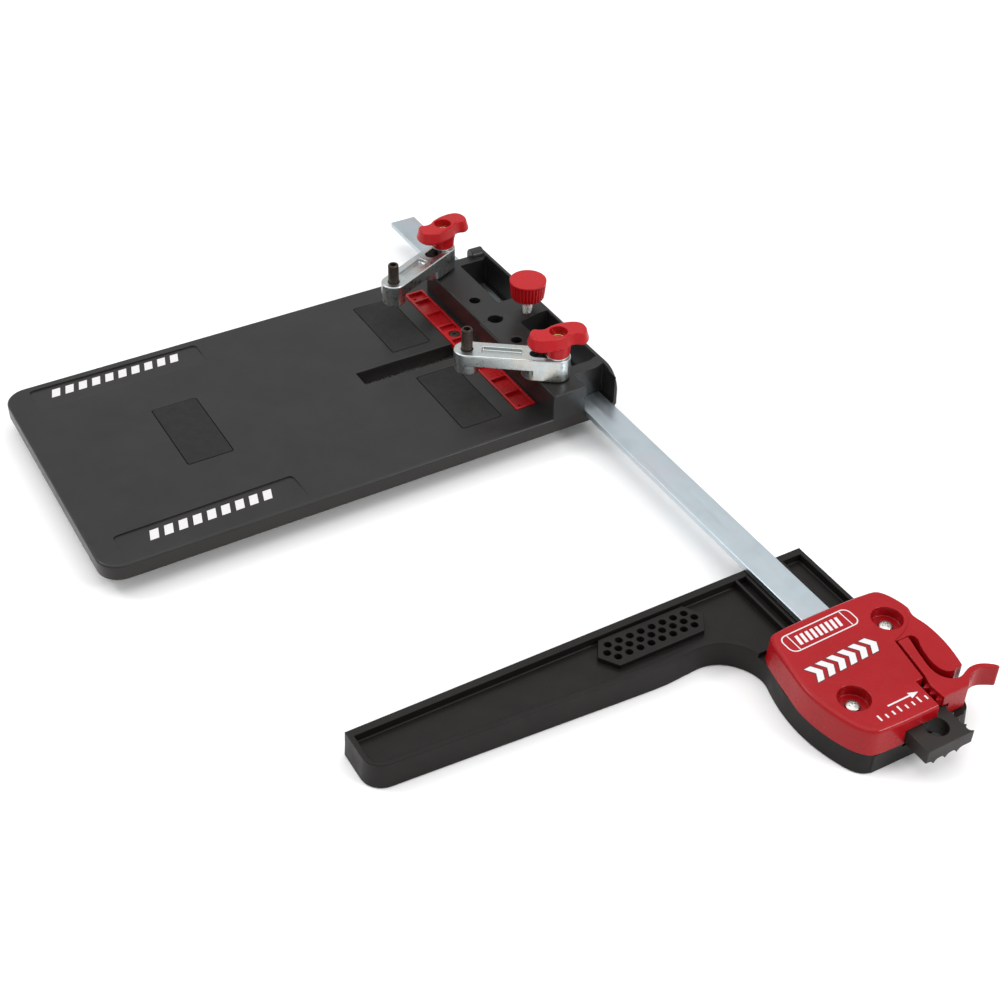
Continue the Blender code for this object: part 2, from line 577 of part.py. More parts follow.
def build_cover():
    outline = cover_outline()
    red = material("cover_plastic", (0.48, 0.013, 0.025), roughness=0.32)
    cover = loft("fence_cover", [(SEAM + GAP, outline), (12.0, inset(outline, 0.8)),
                                 (COVER_TOP - 1.6, inset(outline, 1.1)),
                                 (COVER_TOP - 0.5, inset(outline, 1.6)),
                                 (COVER_TOP, inset(outline, 2.7))], red)
    # room for the bar, the rack and its travel
    cut(cover,
        box("bar_room", 307.4, 329.6, -260.0, -210.0, 0.0, BAR_TOP + 0.5),
        box("rack_room", RACK_LEFT - 0.6, RACK_RIGHT + 0.5, -320.0, -246.0, 0.0, COVER_ROOF))
    # slits and the open corner around the lever
    slit = [(335.3, -254.9), (329.3, -281.0), (324.0, -282.1), (322.6, -310.0), (375.0, -310.0),
            (375.0, -284.2), (349.5, -284.2), (345.9, -285.6), (343.2, -285.2), (341.3, -283.2),
            (341.1, -276.4), (343.5, -267.6), (345.8, -259.5), (345.0, -256.0), (343.4, -255.0)]
    cut(cover, prism("slit", slit, -2.0, 30.0))
    for x, y in COVER_SCREWS:
        cut(cover, cylinder("recess", x, y, RECESS_RADIUS, RECESS_FLOOR, 30.0, count=32),
            cylinder("way", x, y, 2.0 + GAP, -2.0, 20.0, count=16))
    finish(cover)

    steel = material("screw_steel", (0.7, 0.7, 0.68), 1.0, 0.3)
    for name, (x, y) in zip(("cover_screw_near", "cover_screw_far"), COVER_SCREWS):
        screw = loft(name, [(RECESS_FLOOR + 0.2, circle(x, y, 4.0)),
                            (RECESS_FLOOR + 1.2, circle(x, y, 3.8)),
                            (RECESS_FLOOR + 2.2, circle(x, y, 2.4))], steel)
        join(screw, cylinder("shank", x, y, 2.0, -5.0, RECESS_FLOOR + 1.0, count=16))
        cut(screw, boxes("cross", [(x - 2.0, x + 2.0, y - 0.4, y + 0.4, RECESS_FLOOR + 1.1, 20.0)]),
            boxes("cross", [(x - 0.4, x + 0.4, y - 2.0, y + 2.0, RECESS_FLOOR + 1.1, 20.0)]))
        finish(screw)

    top = lever_outline()
    lever = loft("latch_lever", [(COVER_ROOF - 0.1, top), (COVER_TOP - 0.8, top),
                                 (COVER_TOP - 0.1, inset(top, 0.5))], red)
    clear = RACK_RIGHT + 1.2
    tooth_y = RACK_NEAR + RACK_PITCH * 5.62
    low = [(337.8, -255.3), (337.2, -259.0), (clear + 1.0, -276.0), (clear, -280.0),
           (clear, tooth_y + 1.0), (clear - 0.95, tooth_y + 0.2), (clear - 0.95, tooth_y - 0.2),
           (clear, tooth_y - 1.0), (clear, -296.9), (345.4, -296.9), (346.4, -290.6),
           (341.6, -289.0), (338.4, -285.6), (337.4, -279.0), (339.6, -269.5), (342.6, -259.0),
           (342.6, -255.3)]
    join(lever, prism("lever_low", low, SEAM + GAP + 0.4, COVER_ROOF + 1.0))
    edge = [point for point in top if point[0] > 345.3]
    join(lever, prism("blade_low", edge, BLADE_BOTTOM, COVER_ROOF + 1.0))
    finish(lever, (*LEVER_HINGE, 10.0))


# ---------------------------------------------------------------- clamps
def build_clamp(side):
    (x, y), span, angle, pin_top, wing_angle = CLAMPS[side]
    zinc = material("arm_zinc", (0.52, 0.52, 0.48), 1.0, 0.32)

    def place(outline):
        """Outlines are drawn with the bolt at the origin and the pin along +X."""
        return turned(outline, (x, y), angle)

    plan = stadium(0.0, span, 0.0, ARM_RADIUS, 10)
    arm = prism("clamp_arm_" + side, place(plan), ARM_UNDER, ARM_TOP, zinc, top=0.6)
    foot = stadium(0.0, ARM_SLIDE + 0.8, 0.0, ARM_RADIUS, 10)
    boss = circle(span, 0.0, 7.4, 24)
    join(arm,
         loft("foot", [(ARM_FOOT, place(inset(foot, 0.9))), (ARM_FOOT + 0.6, place(inset(foot, 0.3))),
                       (ARM_UNDER + 1.0, place(inset(foot, 0.05)))]),
         loft("boss", [(PIN_FOOT, place(inset(boss, 1.0))), (PIN_FOOT + 0.5, place(inset(boss, 0.5))),
                       (ARM_UNDER + 1.0, place(boss))]))
    cut(arm, prism("slot", place(stadium(0.0, ARM_SLIDE, 0.0, SLOT_HALF, 8)), 20.0, 50.0),
        prism("recess", place(rectangle(21.8, span - 9.2, -3.4, 3.4)), ARM_TOP - 2.4, 50.0),
        prism("pin_hole", place(circle(span, 0.0, PIN_RADIUS + GAP, 24)), 20.0, 50.0))
    finish(arm, (x, y, ARM_TOP))

    spacer = cylinder("slot_spacer_" + side, x, y, SPACER_RADIUS, ARM_FOOT + 0.2, ARM_TOP - 0.2,
                      material("spacer_steel", (0.5, 0.5, 0.5), 1.0, 0.4), 20)
    cut(spacer, cylinder("bore", x, y, BOLT_RADIUS + 0.25, 20.0, 50.0, count=20))
    finish(spacer, (x, y, ARM_TOP))

    pin_x, pin_y = place([(span, 0.0)])[0]
    pin = cylinder("set_pin_" + side, pin_x, pin_y, PIN_RADIUS, pin_top - PIN_LENGTH, pin_top,
                   material("pin_steel", (0.045, 0.034, 0.03), 0.7, 0.5), 24, bottom=0.8, top=0.7)
    cut(pin, cylinder("socket", pin_x, pin_y, 2.3, pin_top - 5.0, pin_top + 2.0, count=6))
    finish(pin, (pin_x, pin_y, ARM_TOP))

    washer = cylinder("washer_" + side, x, y, 7.2, ARM_TOP + GAP / 2, ARM_TOP + GAP / 2 + WASHER_THICK,
                      material("washer_steel", (0.6, 0.6, 0.6), 1.0, 0.35), 24)
    cut(washer, cylinder("bore", x, y, BOLT_RADIUS + 0.3, 40.0, 50.0, count=20))
    finish(washer, (x, y, ARM_TOP))

    build_wing(side, x, y, wing_angle)


def wing_outline():
    return WING_LOBE + [(-u, -v) for u, v in WING_LOBE]


def build_wing(side, x, y, angle):
    red = material("knob_plastic", (0.5, 0.012, 0.022), roughness=0.35)
    under = ARM_TOP + GAP + WASHER_THICK
    plan = turned(wing_outline(), (x, y), angle)
    levels = ((WING_UNDER, 2.2), (WING_UNDER + 0.9, 0.7), (WING_UNDER + 2.2, 0.0),
              (WING_TOP - 1.2, 1.3), (WING_TOP - 0.4, 1.7), (WING_TOP, 2.5))
    wing = loft("wing_knob_" + side, [(z, inset(plan, amount)) for z, amount in levels], red)
    join(wing, loft("hub", [(under, circle(x, y, WING_HUB_FOOT)),
                            (WING_UNDER + 2.2, circle(x, y, WING_HUB))]))
    cut(wing, cylinder("top_hole", x, y, WING_HOLE, WING_TOP - WING_HOLE_DEPTH, 70.0, count=24),
        cylinder("insert_hole", x, y, 4.6, 30.0, 70.0, count=20))
    finish(wing, (x, y, ARM_TOP))
    brass = material("insert_brass", (0.7, 0.5, 0.16), 1.0, 0.3)
    bush = cylinder("thread_insert_" + side, x, y, 4.4, under + 0.3, WING_TOP - WING_HOLE_DEPTH - 0.2,
                    brass, 20)
    cut(bush, cylinder("bore", x, y, BOLT_RADIUS + 0.25, 30.0, 70.0, count=20))
    finish(bush, (x, y, ARM_TOP))


def build_thumb_screw():
    x, y = THUMB
    ring = []
    for k in range(FLUTES):
        for offset, depth in ((0.0, 0.0), (0.28, 0.0), (0.5, 0.75), (0.78, 0.75)):
            a = math.tau * (k + offset) / FLUTES
            ring.append((x + (THUMB_RADIUS - depth) * math.cos(a),
                         y + (THUMB_RADIUS - depth) * math.sin(a)))

    def scaled(factor):
        return [(x + (px - x) * factor, y + (py - y) * factor) for px, py in ring]

    rim = FLUTES * 4
    knob = loft("thumb_knob", [(THUMB_UNDER, scaled(0.87)), (THUMB_UNDER + 0.8, scaled(0.915)),
                               (THUMB_TOP - 0.9, scaled(1.0)),
                               (THUMB_TOP - 0.89, circle(x, y, THUMB_RADIUS, rim)),
                               (THUMB_TOP, circle(x, y, THUMB_RADIUS - 1.0, rim))],
                material("thumb_plastic", (0.52, 0.012, 0.022), roughness=0.35))
    cut(knob, cylinder("seat", x, y, STUD_RADIUS + 0.2, 30.0, THUMB_TOP - 3.0, count=20))
    finish(knob, (x, y, THUMB_UNDER))
    stud = cylinder("thumb_stud", x, y, STUD_RADIUS, 10.4, THUMB_TOP - 3.2,
                    material("stud_steel", (0.55, 0.54, 0.5), 1.0, 0.3), 20, bottom=0.5, top=0.3)
    finish(stud, (x, y, THUMB_UNDER))
    brass = material("pad_brass", (0.6, 0.42, 0.15), 1.0, 0.4)
    pad = cylinder("pressure_pad", x, y, 3.2, BAR_TOP + GAP, 10.1, brass, 20)
    finish(pad, (x, y, THUMB_UNDER))


def clear_scene():
    for thing in list(bpy.data.objects):
        bpy.data.objects.remove(thing)
    for mesh in list(bpy.data.meshes):
        bpy.data.meshes.remove(mesh)


clear_scene()
build_base_plate()
build_base_trim()
build_bar()
build_fence()
build_cover()
for clamp_side in CLAMPS:
    build_clamp(clamp_side)
build_thumb_screw()
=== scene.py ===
"""Looks of the saw guide: fine meshes, materials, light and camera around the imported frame."""
import json
import math

import bmesh
import bpy
from mathutils import Matrix, Vector


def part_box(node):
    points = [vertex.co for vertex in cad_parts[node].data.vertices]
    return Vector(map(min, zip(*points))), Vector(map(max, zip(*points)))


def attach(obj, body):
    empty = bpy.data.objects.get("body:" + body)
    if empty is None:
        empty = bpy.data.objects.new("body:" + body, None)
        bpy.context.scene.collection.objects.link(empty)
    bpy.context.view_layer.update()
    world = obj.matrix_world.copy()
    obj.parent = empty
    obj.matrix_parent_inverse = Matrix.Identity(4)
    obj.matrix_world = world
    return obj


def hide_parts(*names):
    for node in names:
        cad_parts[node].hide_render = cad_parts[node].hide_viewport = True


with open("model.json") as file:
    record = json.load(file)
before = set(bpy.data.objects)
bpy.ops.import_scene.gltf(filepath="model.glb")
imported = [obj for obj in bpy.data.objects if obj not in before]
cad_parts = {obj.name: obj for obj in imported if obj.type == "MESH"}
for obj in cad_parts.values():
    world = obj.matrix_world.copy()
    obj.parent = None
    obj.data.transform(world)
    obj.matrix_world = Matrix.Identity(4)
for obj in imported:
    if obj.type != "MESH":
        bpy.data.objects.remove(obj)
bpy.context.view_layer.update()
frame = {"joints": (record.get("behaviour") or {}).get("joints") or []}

# Lengths below are in millimetres from the plate's near left bottom corner:
# X runs along the plate towards the bar, Y away from the fence, Z up.
MM = 0.001
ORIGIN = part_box("base_plate")[0]


def in_mm(point):
    return (Vector(point) - ORIGIN) / MM


def extents(node):
    """Lowest and highest corner of a CAD node."""
    low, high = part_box(node)
    return in_mm(low), in_mm(high)


def middle(node):
    low, high = extents(node)
    return (low + high) / 2.0


def joint(name):
    return next(item for item in frame["joints"] if item["name"] == name)


# ---------------------------------------------------------------- dimensions
PLATE_HIGH = extents("base_plate")[1]
PLATE_RIGHT, PLATE_WIDTH = PLATE_HIGH.x, PLATE_HIGH.y
PLATE_TOP = 10.0
SLOT = (202.0, 284.0, 89.0, 103.0)
BLOCK_LEFT_NEAR, BLOCK_LEFT_FAR = 285.6, 287.4
BLOCK_TOP_NEAR, BLOCK_TOP_FAR = 27.4, 26.6
BLOCK_SPLIT, BLOCK_FAR = 92.4, 169.5
RAIL_LEFT = 329.4
RAIL_TOP_NEAR, RAIL_TOP_FAR = 29.8, 29.4
RAIL_FAR = 173.5
RAIL_ROUND = 14.0
WINDOW_NEAR = (309.4, 329.4, 22.5, 80.7)
WINDOW_FAR = (309.4, 329.4, 108.7, 160.7)
MOUTH = (308.2, 329.4, -2.0, 14.0)
SPARE_HOLES = ((297.0, 118.4, 3.6), (297.3, 92.1, 5.0), (297.0, 64.3, 3.6))
INSERT_SCREW = (278.0, 111.5)
BAR_CENTRE = 318.5
THUMB = (318.5, 87.5)
FENCE_FACE, FENCE_BOTTOM, FENCE_RIM = -162.4, -10.7, 4.4
FENCE_LEFT, FENCE_RIGHT, HEAD_NEAR = 64.6, 349.2, -300.6
SEAM, COVER_FAR, COVER_TOP, COVER_ROOF = 1.6, -218.6, 18.0, 10.6
LEVER_LEDGE = 0.7
COVER_SCREWS = {"cover_screw_near": (289.7, -276.1), "cover_screw_far": (341.7, -240.1)}
RACK_LEFT, RACK_RIGHT = 303.6, 333.0
RACK_PITCH, RACK_PHASE, RACK_TOOTH, RACK_BOTTOM = 4.6, 0.62, 1.9, 1.9
GRIP_PADS = ("grip_pad_mid", "grip_pad_far", "grip_pad_near")
INK_GAP, INK = 0.015, 0.05      # printed marks float just above their face, so thick
PIVOT_HOLE = (318.6, -305.6, 6.2)
WING_TURN = {"near": -13.0, "far": 8.0}
# one lobe of a wing knob at its widest; the other is the same, half a turn on
WING_LOBE = [(6.4, -6.7), (9.4, -6.3), (12.6, -7.7), (15.6, -7.3), (18.1, -4.6), (19.3, -1.2),
             (19.3, 2.1), (18.5, 5.1), (16.2, 7.8), (13.3, 9.3), (10.0, 10.0), (6.6, 10.2),
             (3.3, 10.0), (0.0, 9.3), (-3.6, 8.3)]


def field_floor(far_edge):
    """Height of a label field's floor at y: deepest at its far edge, level with the plate further on."""
    return lambda y: PLATE_TOP - max(0.8 - 0.035 * (far_edge - y), -0.02)


far_floor, near_floor = field_floor(183.0), field_floor(27.6)


# shallow label fields on the plate; their floors rise towards the near edge
LABEL_FIELDS = (
    (((15.5, 160.2, 0.0), (125.2, 160.2, 0.0), (125.2, 182.3, 3.0), (15.5, 183.2, 3.0)), far_floor),
    (((14.3, 4.8, 0.0), (125.2, 4.8, 0.0), (124.2, 28.4, 3.0), (14.3, 26.5, 3.0)), near_floor))


# ---------------------------------------------------------------- outlines
def circle(x, y, radius, count=48, start=0.0):
    turn = math.tau / count
    return [(x + radius * math.cos(start + i * turn), y + radius * math.sin(start + i * turn))
            for i in range(count)]


def rounded(corners, steps=6):
    """Round a closed outline given as (x, y, radius) corners."""
    result = []
    for i, (x, y, radius) in enumerate(corners):
        if radius <= 0.0:
            result.append((x, y))
            continue
        here = Vector((x, y))
        before = (Vector(corners[i - 1][:2]) - here).normalized()
        after = (Vector(corners[(i + 1) % len(corners)][:2]) - here).normalized()
        half = before.angle(after) / 2.0
        reach = radius / math.tan(half)
        centre = here + (before + after).normalized() * (radius / math.sin(half))
        first = here + before * reach - centre
        last = here + after * reach - centre
        sweep = first.angle_signed(last)
        for k in range(steps + 1):
            part = Matrix.Rotation(-sweep * k / steps, 2) @ first
            result.append((centre.x + part.x, centre.y + part.y))
    return result


def rectangle(x0, x1, y0, y1, radius=0.0, steps=4):
    return rounded([(x0, y0, radius), (x1, y0, radius), (x1, y1, radius), (x0, y1, radius)], steps)


def stadium(x0, x1, y, radius, steps=20):
    arc = [math.pi * k / steps for k in range(steps + 1)]
    right = [(x1 + radius * math.sin(a), y - radius * math.cos(a)) for a in arc]
    left = [(x0 - radius * math.sin(a), y + radius * math.cos(a)) for a in arc]
    return right + left


def spline(points, steps=5, closed=False):
    """Smooth curve through points, spaced by chord length so that it doesn't overshoot."""
    pts = [Vector(p) for p in points]
    count = len(pts)
    if closed:
        ring = [pts[i % count] for i in range(-1, count + 2)]
    else:
        ring = [pts[0] * 2 - pts[1]] + pts + [pts[-1] * 2 - pts[-2]]
    result = []
    for i in range(1, len(ring) - 2):
        p = ring[i - 1:i + 3]
        t = [0.0]
        for a, b in zip(p, p[1:]):
            t.append(t[-1] + max((b - a).length, 1e-6) ** 0.5)
        for k in range(steps):
            s = t[1] + (t[2] - t[1]) * k / steps
            a = [p[j].lerp(p[j + 1], (s - t[j]) / (t[j + 1] - t[j])) for j in range(3)]
            b = [a[j].lerp(a[j + 1], (s - t[j]) / (t[j + 2] - t[j])) for j in range(2)]
            c = b[0].lerp(b[1], (s - t[1]) / (t[2] - t[1]))
            result.append((c.x, c.y))
    if not closed:
        result.append(tuple(pts[-1]))
    return result


def inset(outline, distance):
    """Move every side of a counter-clockwise outline inwards by a distance."""
    count = len(outline)
    result = []
    for i in range(count):
        before, here, after = (Vector(outline[(i + k) % count]) for k in (-1, 0, 1))
        along_in, along_out = (here - before).normalized(), (after - here).normalized()
        normal_in = Vector((-along_in.y, along_in.x))
        bisector = (normal_in + Vector((-along_out.y, along_out.x))).normalized()
        point = here + bisector * (distance / max(bisector.dot(normal_in), 0.5))
        result.append((point.x, point.y))
    return result


def turned(outline, centre, degrees):
    cos, sin = math.cos(math.radians(degrees)), math.sin(math.radians(degrees))
    return [(centre[0] + x * cos - y * sin, centre[1] + x * sin + y * cos) for x, y in outline]


# ---------------------------------------------------------------- solids
def new_object(name, verts, faces):
    mesh = bpy.data.meshes.new(name)
    mesh.from_pydata([Vector(v) * MM + ORIGIN for v in verts], [], faces)
    work = bmesh.new()
    work.from_mesh(mesh)
    bmesh.ops.recalc_face_normals(work, faces=work.faces)
    work.to_mesh(mesh)
    work.free()
    thing = bpy.data.objects.new(name, mesh)
    bpy.context.scene.collection.objects.link(thing)
    return thing


def loft(name, sections, axis="Z"):
    """Stack outlines with the same number of points; each section is (place along the axis, outline)."""
    count = len(sections[0][1])
    put = {"Z": lambda s, a, b: (a, b, s),
           "X": lambda s, a, b: (s, a, b),
           "Y": lambda s, a, b: (a, s, b)}[axis]
    verts = [put(place, a, b) for place, outline in sections for a, b in outline]
    faces = [tuple(reversed(range(count)))]
    for level in range(len(sections) - 1):
        low, high = level * count, (level + 1) * count
        faces += [(low + i, low + (i + 1) % count, high + (i + 1) % count, high + i) for i in range(count)]
    faces.append(tuple(range((len(sections) - 1) * count, len(sections) * count)))
    return new_object(name, verts, faces)


def quarter(steps):
    return [math.pi / 2 * k / steps for k in range(steps + 1)]


def solid(name, outline, low, high, bottom=0.0, top=0.0, draft=0.0, steps=5, axis="Z", shrink=inset):
    """Prism with rounded rims; its sides lean inwards by the draft from bottom to top."""
    sections = []
    if bottom:
        sections += [(low + bottom * (1 - math.cos(a)), shrink(outline, bottom * (1 - math.sin(a))))
                     for a in quarter(steps)]
    else:
        sections.append((low, outline))
    if top:
        sections += [(high - top + top * math.sin(a), shrink(outline, draft + top * (1 - math.cos(a))))
                     for a in quarter(steps)]
    else:
        sections.append((high, shrink(outline, draft)))
    return loft(name, sections, axis)


def cutter(outline, low, surface, flare=0.0, steps=4, axis="Z", over=1.5, foot=0.0):
    """Tool for a pocket or hole that opens upwards with a rounded lip and, if asked, a rounded foot."""
    sections = []
    if foot:
        sections += [(low + foot * (1 - math.cos(a)), inset(outline, foot * (1 - math.sin(a))))
                     for a in quarter(3)]
    else:
        sections.append((low, outline))
    if flare:
        sections += [(surface - flare + flare * math.sin(a), inset(outline, -flare * (1 - math.cos(a))))
                     for a in quarter(steps)]
        sections.append((surface + over, inset(outline, -flare)))
    else:
        sections.append((surface + over, outline))
    return loft("cutter", sections, axis)


def prism(outline, low, high, axis="Z", name="cutter"):
    return loft(name, [(low, outline), (high, outline)], axis)


def block(x0, x1, y0, y1, z0, z1):
    return prism(rectangle(x0, x1, y0, y1), z0, z1)


def sheet(name, outline, low, high):
    """Closed solid over an outline; low and high give its two heights at a place y."""
    count = len(outline)
    verts = [(x, y, level(y)) for level in (low, high) for x, y in outline]
    faces = [tuple(range(count)), tuple(range(2 * count - 1, count - 1, -1))]
    faces += [(i, i + count, (i + 1) % count + count, (i + 1) % count) for i in range(count)]
    return new_object(name, verts, faces)


def turned_solid(name, x, y, profile, count=48):
    """Turn a profile of (radius, z) points about a vertical axis; it starts and ends on a flat cap."""
    return loft(name, [(z, circle(x, y, radius, count)) for radius, z in profile])


def collar(name, node, x, y, radius, below, above):
    """Short round piece as tall as its CAD node; below and above are its chamfers, (in, up or down)."""
    low, high = extents(node)
    return turned_solid(name, x, y, [(radius - below[0], low.z), (radius, low.z + below[1]),
                                     (radius, high.z - above[1]), (radius - above[0], high.z)])


def thread(crest, root, start, end, pitch=1.0, flat=0.2, foot=0.5):
    """Profile of thread rings, one a pitch; flat and foot are where the crest ends and the root begins."""
    rings = []
    z = start
    while z < end:
        rings += [(crest, z), (crest, z + flat), (root, z + foot), (root, z + foot + 0.1)]
        z += pitch
    return rings


def merged(things):
    """Put several separate solids in one mesh, to be used as one tool."""
    work = bmesh.new()
    for thing in things:
        work.from_mesh(thing.data)
    first = things[0]
    work.to_mesh(first.data)
    work.free()
    for thing in things[1:]:
        bpy.data.objects.remove(thing)
    return first


def combine(target, tool, operation):
    step = target.modifiers.new("combine", "BOOLEAN")
    step.operation = operation
    step.solver = "EXACT"
    step.object = tool
    graph = bpy.context.evaluated_depsgraph_get()
    mesh = bpy.data.meshes.new_from_object(target.evaluated_get(graph))
    old = target.data
    target.modifiers.clear()
    target.data = mesh
    bpy.data.meshes.remove(old)
    bpy.data.objects.remove(tool)
    return target


def cut(target, *tools):
    for tool in tools:
        combine(target, tool, "DIFFERENCE")
    return target


def join(target, *tools):
    for tool in tools:
        combine(target, tool, "UNION")
    return target


def finish(thing, body, slot, replaces=(), look=None, sharp=38.0):
    """Clean a piece, shade it, tie it to its body and hide the CAD nodes it replaces; its material is the
    slot's look unless a look is given.
    """
    work = bmesh.new()
    work.from_mesh(thing.data)
    bmesh.ops.remove_doubles(work, verts=work.verts, dist=2e-6)
    bmesh.ops.dissolve_degenerate(work, edges=work.edges, dist=2e-6)
    bmesh.ops.triangulate(work, faces=[face for face in work.faces if len(face.verts) > 4])
    bmesh.ops.recalc_face_normals(work, faces=work.faces)
    work.to_mesh(thing.data)
    work.free()
    for face in thing.data.polygons:
        face.use_smooth = True
        face.material_index = 0
    thing.data.set_sharp_from_angle(angle=math.radians(sharp))
    weigh = thing.modifiers.new("weighted_normals", "WEIGHTED_NORMAL")
    weigh.mode = "FACE_AREA"
    weigh.keep_sharp = True
    thing.data.materials.clear()
    thing.data.materials.append(LOOKS[look or slot])
    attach(thing, body)
    if replaces:
        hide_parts(*replaces)
    return thing


# ---------------------------------------------------------------- materials
class Surface:
    """Small builder for one Principled material on object coordinates."""

    def __init__(self, name, metallic, specular=0.5, edge=0.0):
        self.material = bpy.data.materials.new(name)
        self.material.use_nodes = True
        self.nodes = self.material.node_tree.nodes
        self.links = self.material.node_tree.links
        self.shader = self.nodes["Principled BSDF"]
        self.shader.inputs["Metallic"].default_value = metallic
        self.shader.inputs["Specular IOR Level"].default_value = specular
        self.place = self.nodes.new("ShaderNodeTexCoord").outputs["Object"]
        self.normal = None
        if edge:
            soften = self.nodes.new("ShaderNodeBevel")
            soften.samples = 4
            soften.inputs["Radius"].default_value = edge * MM
            self.normal = soften.outputs["Normal"]

    def stretched(self, scale):
        mapping = self.nodes.new("ShaderNodeMapping")
        mapping.inputs["Scale"].default_value = scale
        self.links.new(self.place, mapping.inputs["Vector"])
        return mapping.outputs["Vector"]

    def noise(self, size, detail=3.0, rough=0.55, stretch=None):
        """Noise whose features are about size millimetres across."""
        node = self.nodes.new("ShaderNodeTexNoise")
        node.inputs["Scale"].default_value = 1.0 / (size * MM)
        node.inputs["Detail"].default_value = detail
        node.inputs["Roughness"].default_value = rough
        self.links.new(self.stretched(stretch) if stretch else self.place, node.inputs["Vector"])
        return node.outputs["Fac"]

    def height(self):
        node = self.nodes.new("ShaderNodeSeparateXYZ")
        self.links.new(self.place, node.inputs["Vector"])
        return node.outputs["Z"]

    def cells(self, size):
        node = self.nodes.new("ShaderNodeTexVoronoi")
        node.inputs["Scale"].default_value = 1.0 / (size * MM)
        self.links.new(self.place, node.inputs["Vector"])
        return node.outputs["Distance"]

    def ramp(self, value, stops):
        """Colour from a value; stops are (position, (r, g, b))."""
        node = self.nodes.new("ShaderNodeValToRGB")
        while len(node.color_ramp.elements) < len(stops):
            node.color_ramp.elements.new(0.5)
        for element, (position, colour) in zip(node.color_ramp.elements, stops):
            element.position = position
            element.color = (*colour, 1.0)
        self.links.new(value, node.inputs["Fac"])
        return node.outputs["Color"]

    def between(self, value, low, high, start=0.3, end=0.7):
        node = self.nodes.new("ShaderNodeMapRange")
        node.inputs["From Min"].default_value = start
        node.inputs["From Max"].default_value = end
        node.inputs["To Min"].default_value = low
        node.inputs["To Max"].default_value = high
        self.links.new(value, node.inputs["Value"])
        return node.outputs["Result"]

    def colour(self, output):
        self.links.new(output, self.shader.inputs["Base Color"])

    def roughness(self, output):
        self.links.new(output, self.shader.inputs["Roughness"])

    def bump(self, height, depth, strength=1.0):
        """Add relief whose height is depth millimetres from low to high."""
        node = self.nodes.new("ShaderNodeBump")
        node.inputs["Strength"].default_value = strength
        node.inputs["Distance"].default_value = depth * MM
        self.links.new(height, node.inputs["Height"])
        if self.normal is not None:
            self.links.new(self.normal, node.inputs["Normal"])
        self.normal = node.outputs["Normal"]

    def done(self):
        if self.normal is not None:
            self.links.new(self.normal, self.shader.inputs["Normal"])
        return self.material


def plastic(name, dark, light, rough, grain=0.35, relief=0.02, edge=0.35, specular=0.36, shaded_flanks=None):
    """Moulded plastic: faint flow marks, uneven gloss and a fine spark-eroded grain.

    The flank colour, if given, is painted below the plate's top face, darker and browner than the top:
    painted shade on the sides.
    """
    made = Surface(name, 0.0, specular, edge)
    flow = made.noise(38.0, 4.0, 0.6)
    if shaded_flanks:
        # painted shade: below the plate's top face the colour ramps to the darker, browner flank colour
        above = made.between(flow, 0.3, 1.0)
        top = (ORIGIN.z / MM + PLATE_TOP) * MM
        level = made.between(made.height(), 0.0, 1.0, top - 2.4 * MM, top - 0.6 * MM)
        made.links.new(above, level.node.inputs["To Max"])
        made.colour(made.ramp(level, [(0.0, shaded_flanks), (0.3, dark), (1.0, light)]))
    else:
        made.colour(made.ramp(flow, [(0.3, dark), (0.72, light)]))
    made.roughness(made.between(made.noise(9.0, 5.0, 0.65), rough - 0.06, rough + 0.07))
    made.bump(made.noise(grain, 2.0, 0.5), relief)
    made.bump(made.noise(14.0, 2.0, 0.4), 0.05, 0.4)
    return made.done()


def rubber():
    made = Surface("pad_rubber", 0.0, 0.28, 0.3)
    made.colour(made.ramp(made.noise(6.0, 5.0, 0.7),
                          [(0.3, (0.012, 0.012, 0.0115)), (0.75, (0.019, 0.019, 0.018))]))
    made.roughness(made.between(made.noise(3.0, 4.0), 0.72, 0.9))
    made.bump(made.cells(0.55), 0.05)
    made.bump(made.noise(0.25, 2.0), 0.03)
    return made.done()


def zinc(name, cool, warm, rough, tint_size, stretch, edge=0.3, pits=0.012):
    """Zinc plate: drifting yellow and violet tints over pale blue-grey, with drawing marks."""
    made = Surface(name, 1.0, 0.5, edge)
    tint = made.noise(tint_size, 3.0, 0.6)
    dim = tuple(c * 0.9 for c in cool)
    made.colour(made.ramp(tint, [(0.28, dim), (0.5, cool), (0.62, warm), (0.8, cool)]))
    made.roughness(made.between(made.noise(2.5, 5.0, 0.7, stretch), rough - 0.07, rough + 0.1))
    made.bump(made.noise(0.8, 4.0, 0.6, stretch), pits)
    made.bump(made.noise(5.0, 3.0, 0.5), 0.03, 0.5)
    return made.done()


def bare_metal(name, dark, light, rough, edge=0.2, metallic=1.0):
    made = Surface(name, metallic, 0.5, edge)
    made.colour(made.ramp(made.noise(3.0, 5.0, 0.7), [(0.3, dark), (0.7, light)]))
    made.roughness(made.between(made.noise(1.2, 4.0, 0.6), rough - 0.08, rough + 0.1))
    made.bump(made.noise(0.5, 3.0, 0.6), 0.01)
    return made.done()


def paint(name, colour):
    made = Surface(name, 0.0, 0.4)
    worn = tuple(c * 0.86 for c in colour)
    made.colour(made.ramp(made.noise(0.9, 5.0, 0.75), [(0.3, worn), (0.55, colour)]))
    made.roughness(made.between(made.noise(1.5, 3.0), 0.42, 0.6))
    made.bump(made.noise(0.3, 2.0), 0.01)
    return made.done()


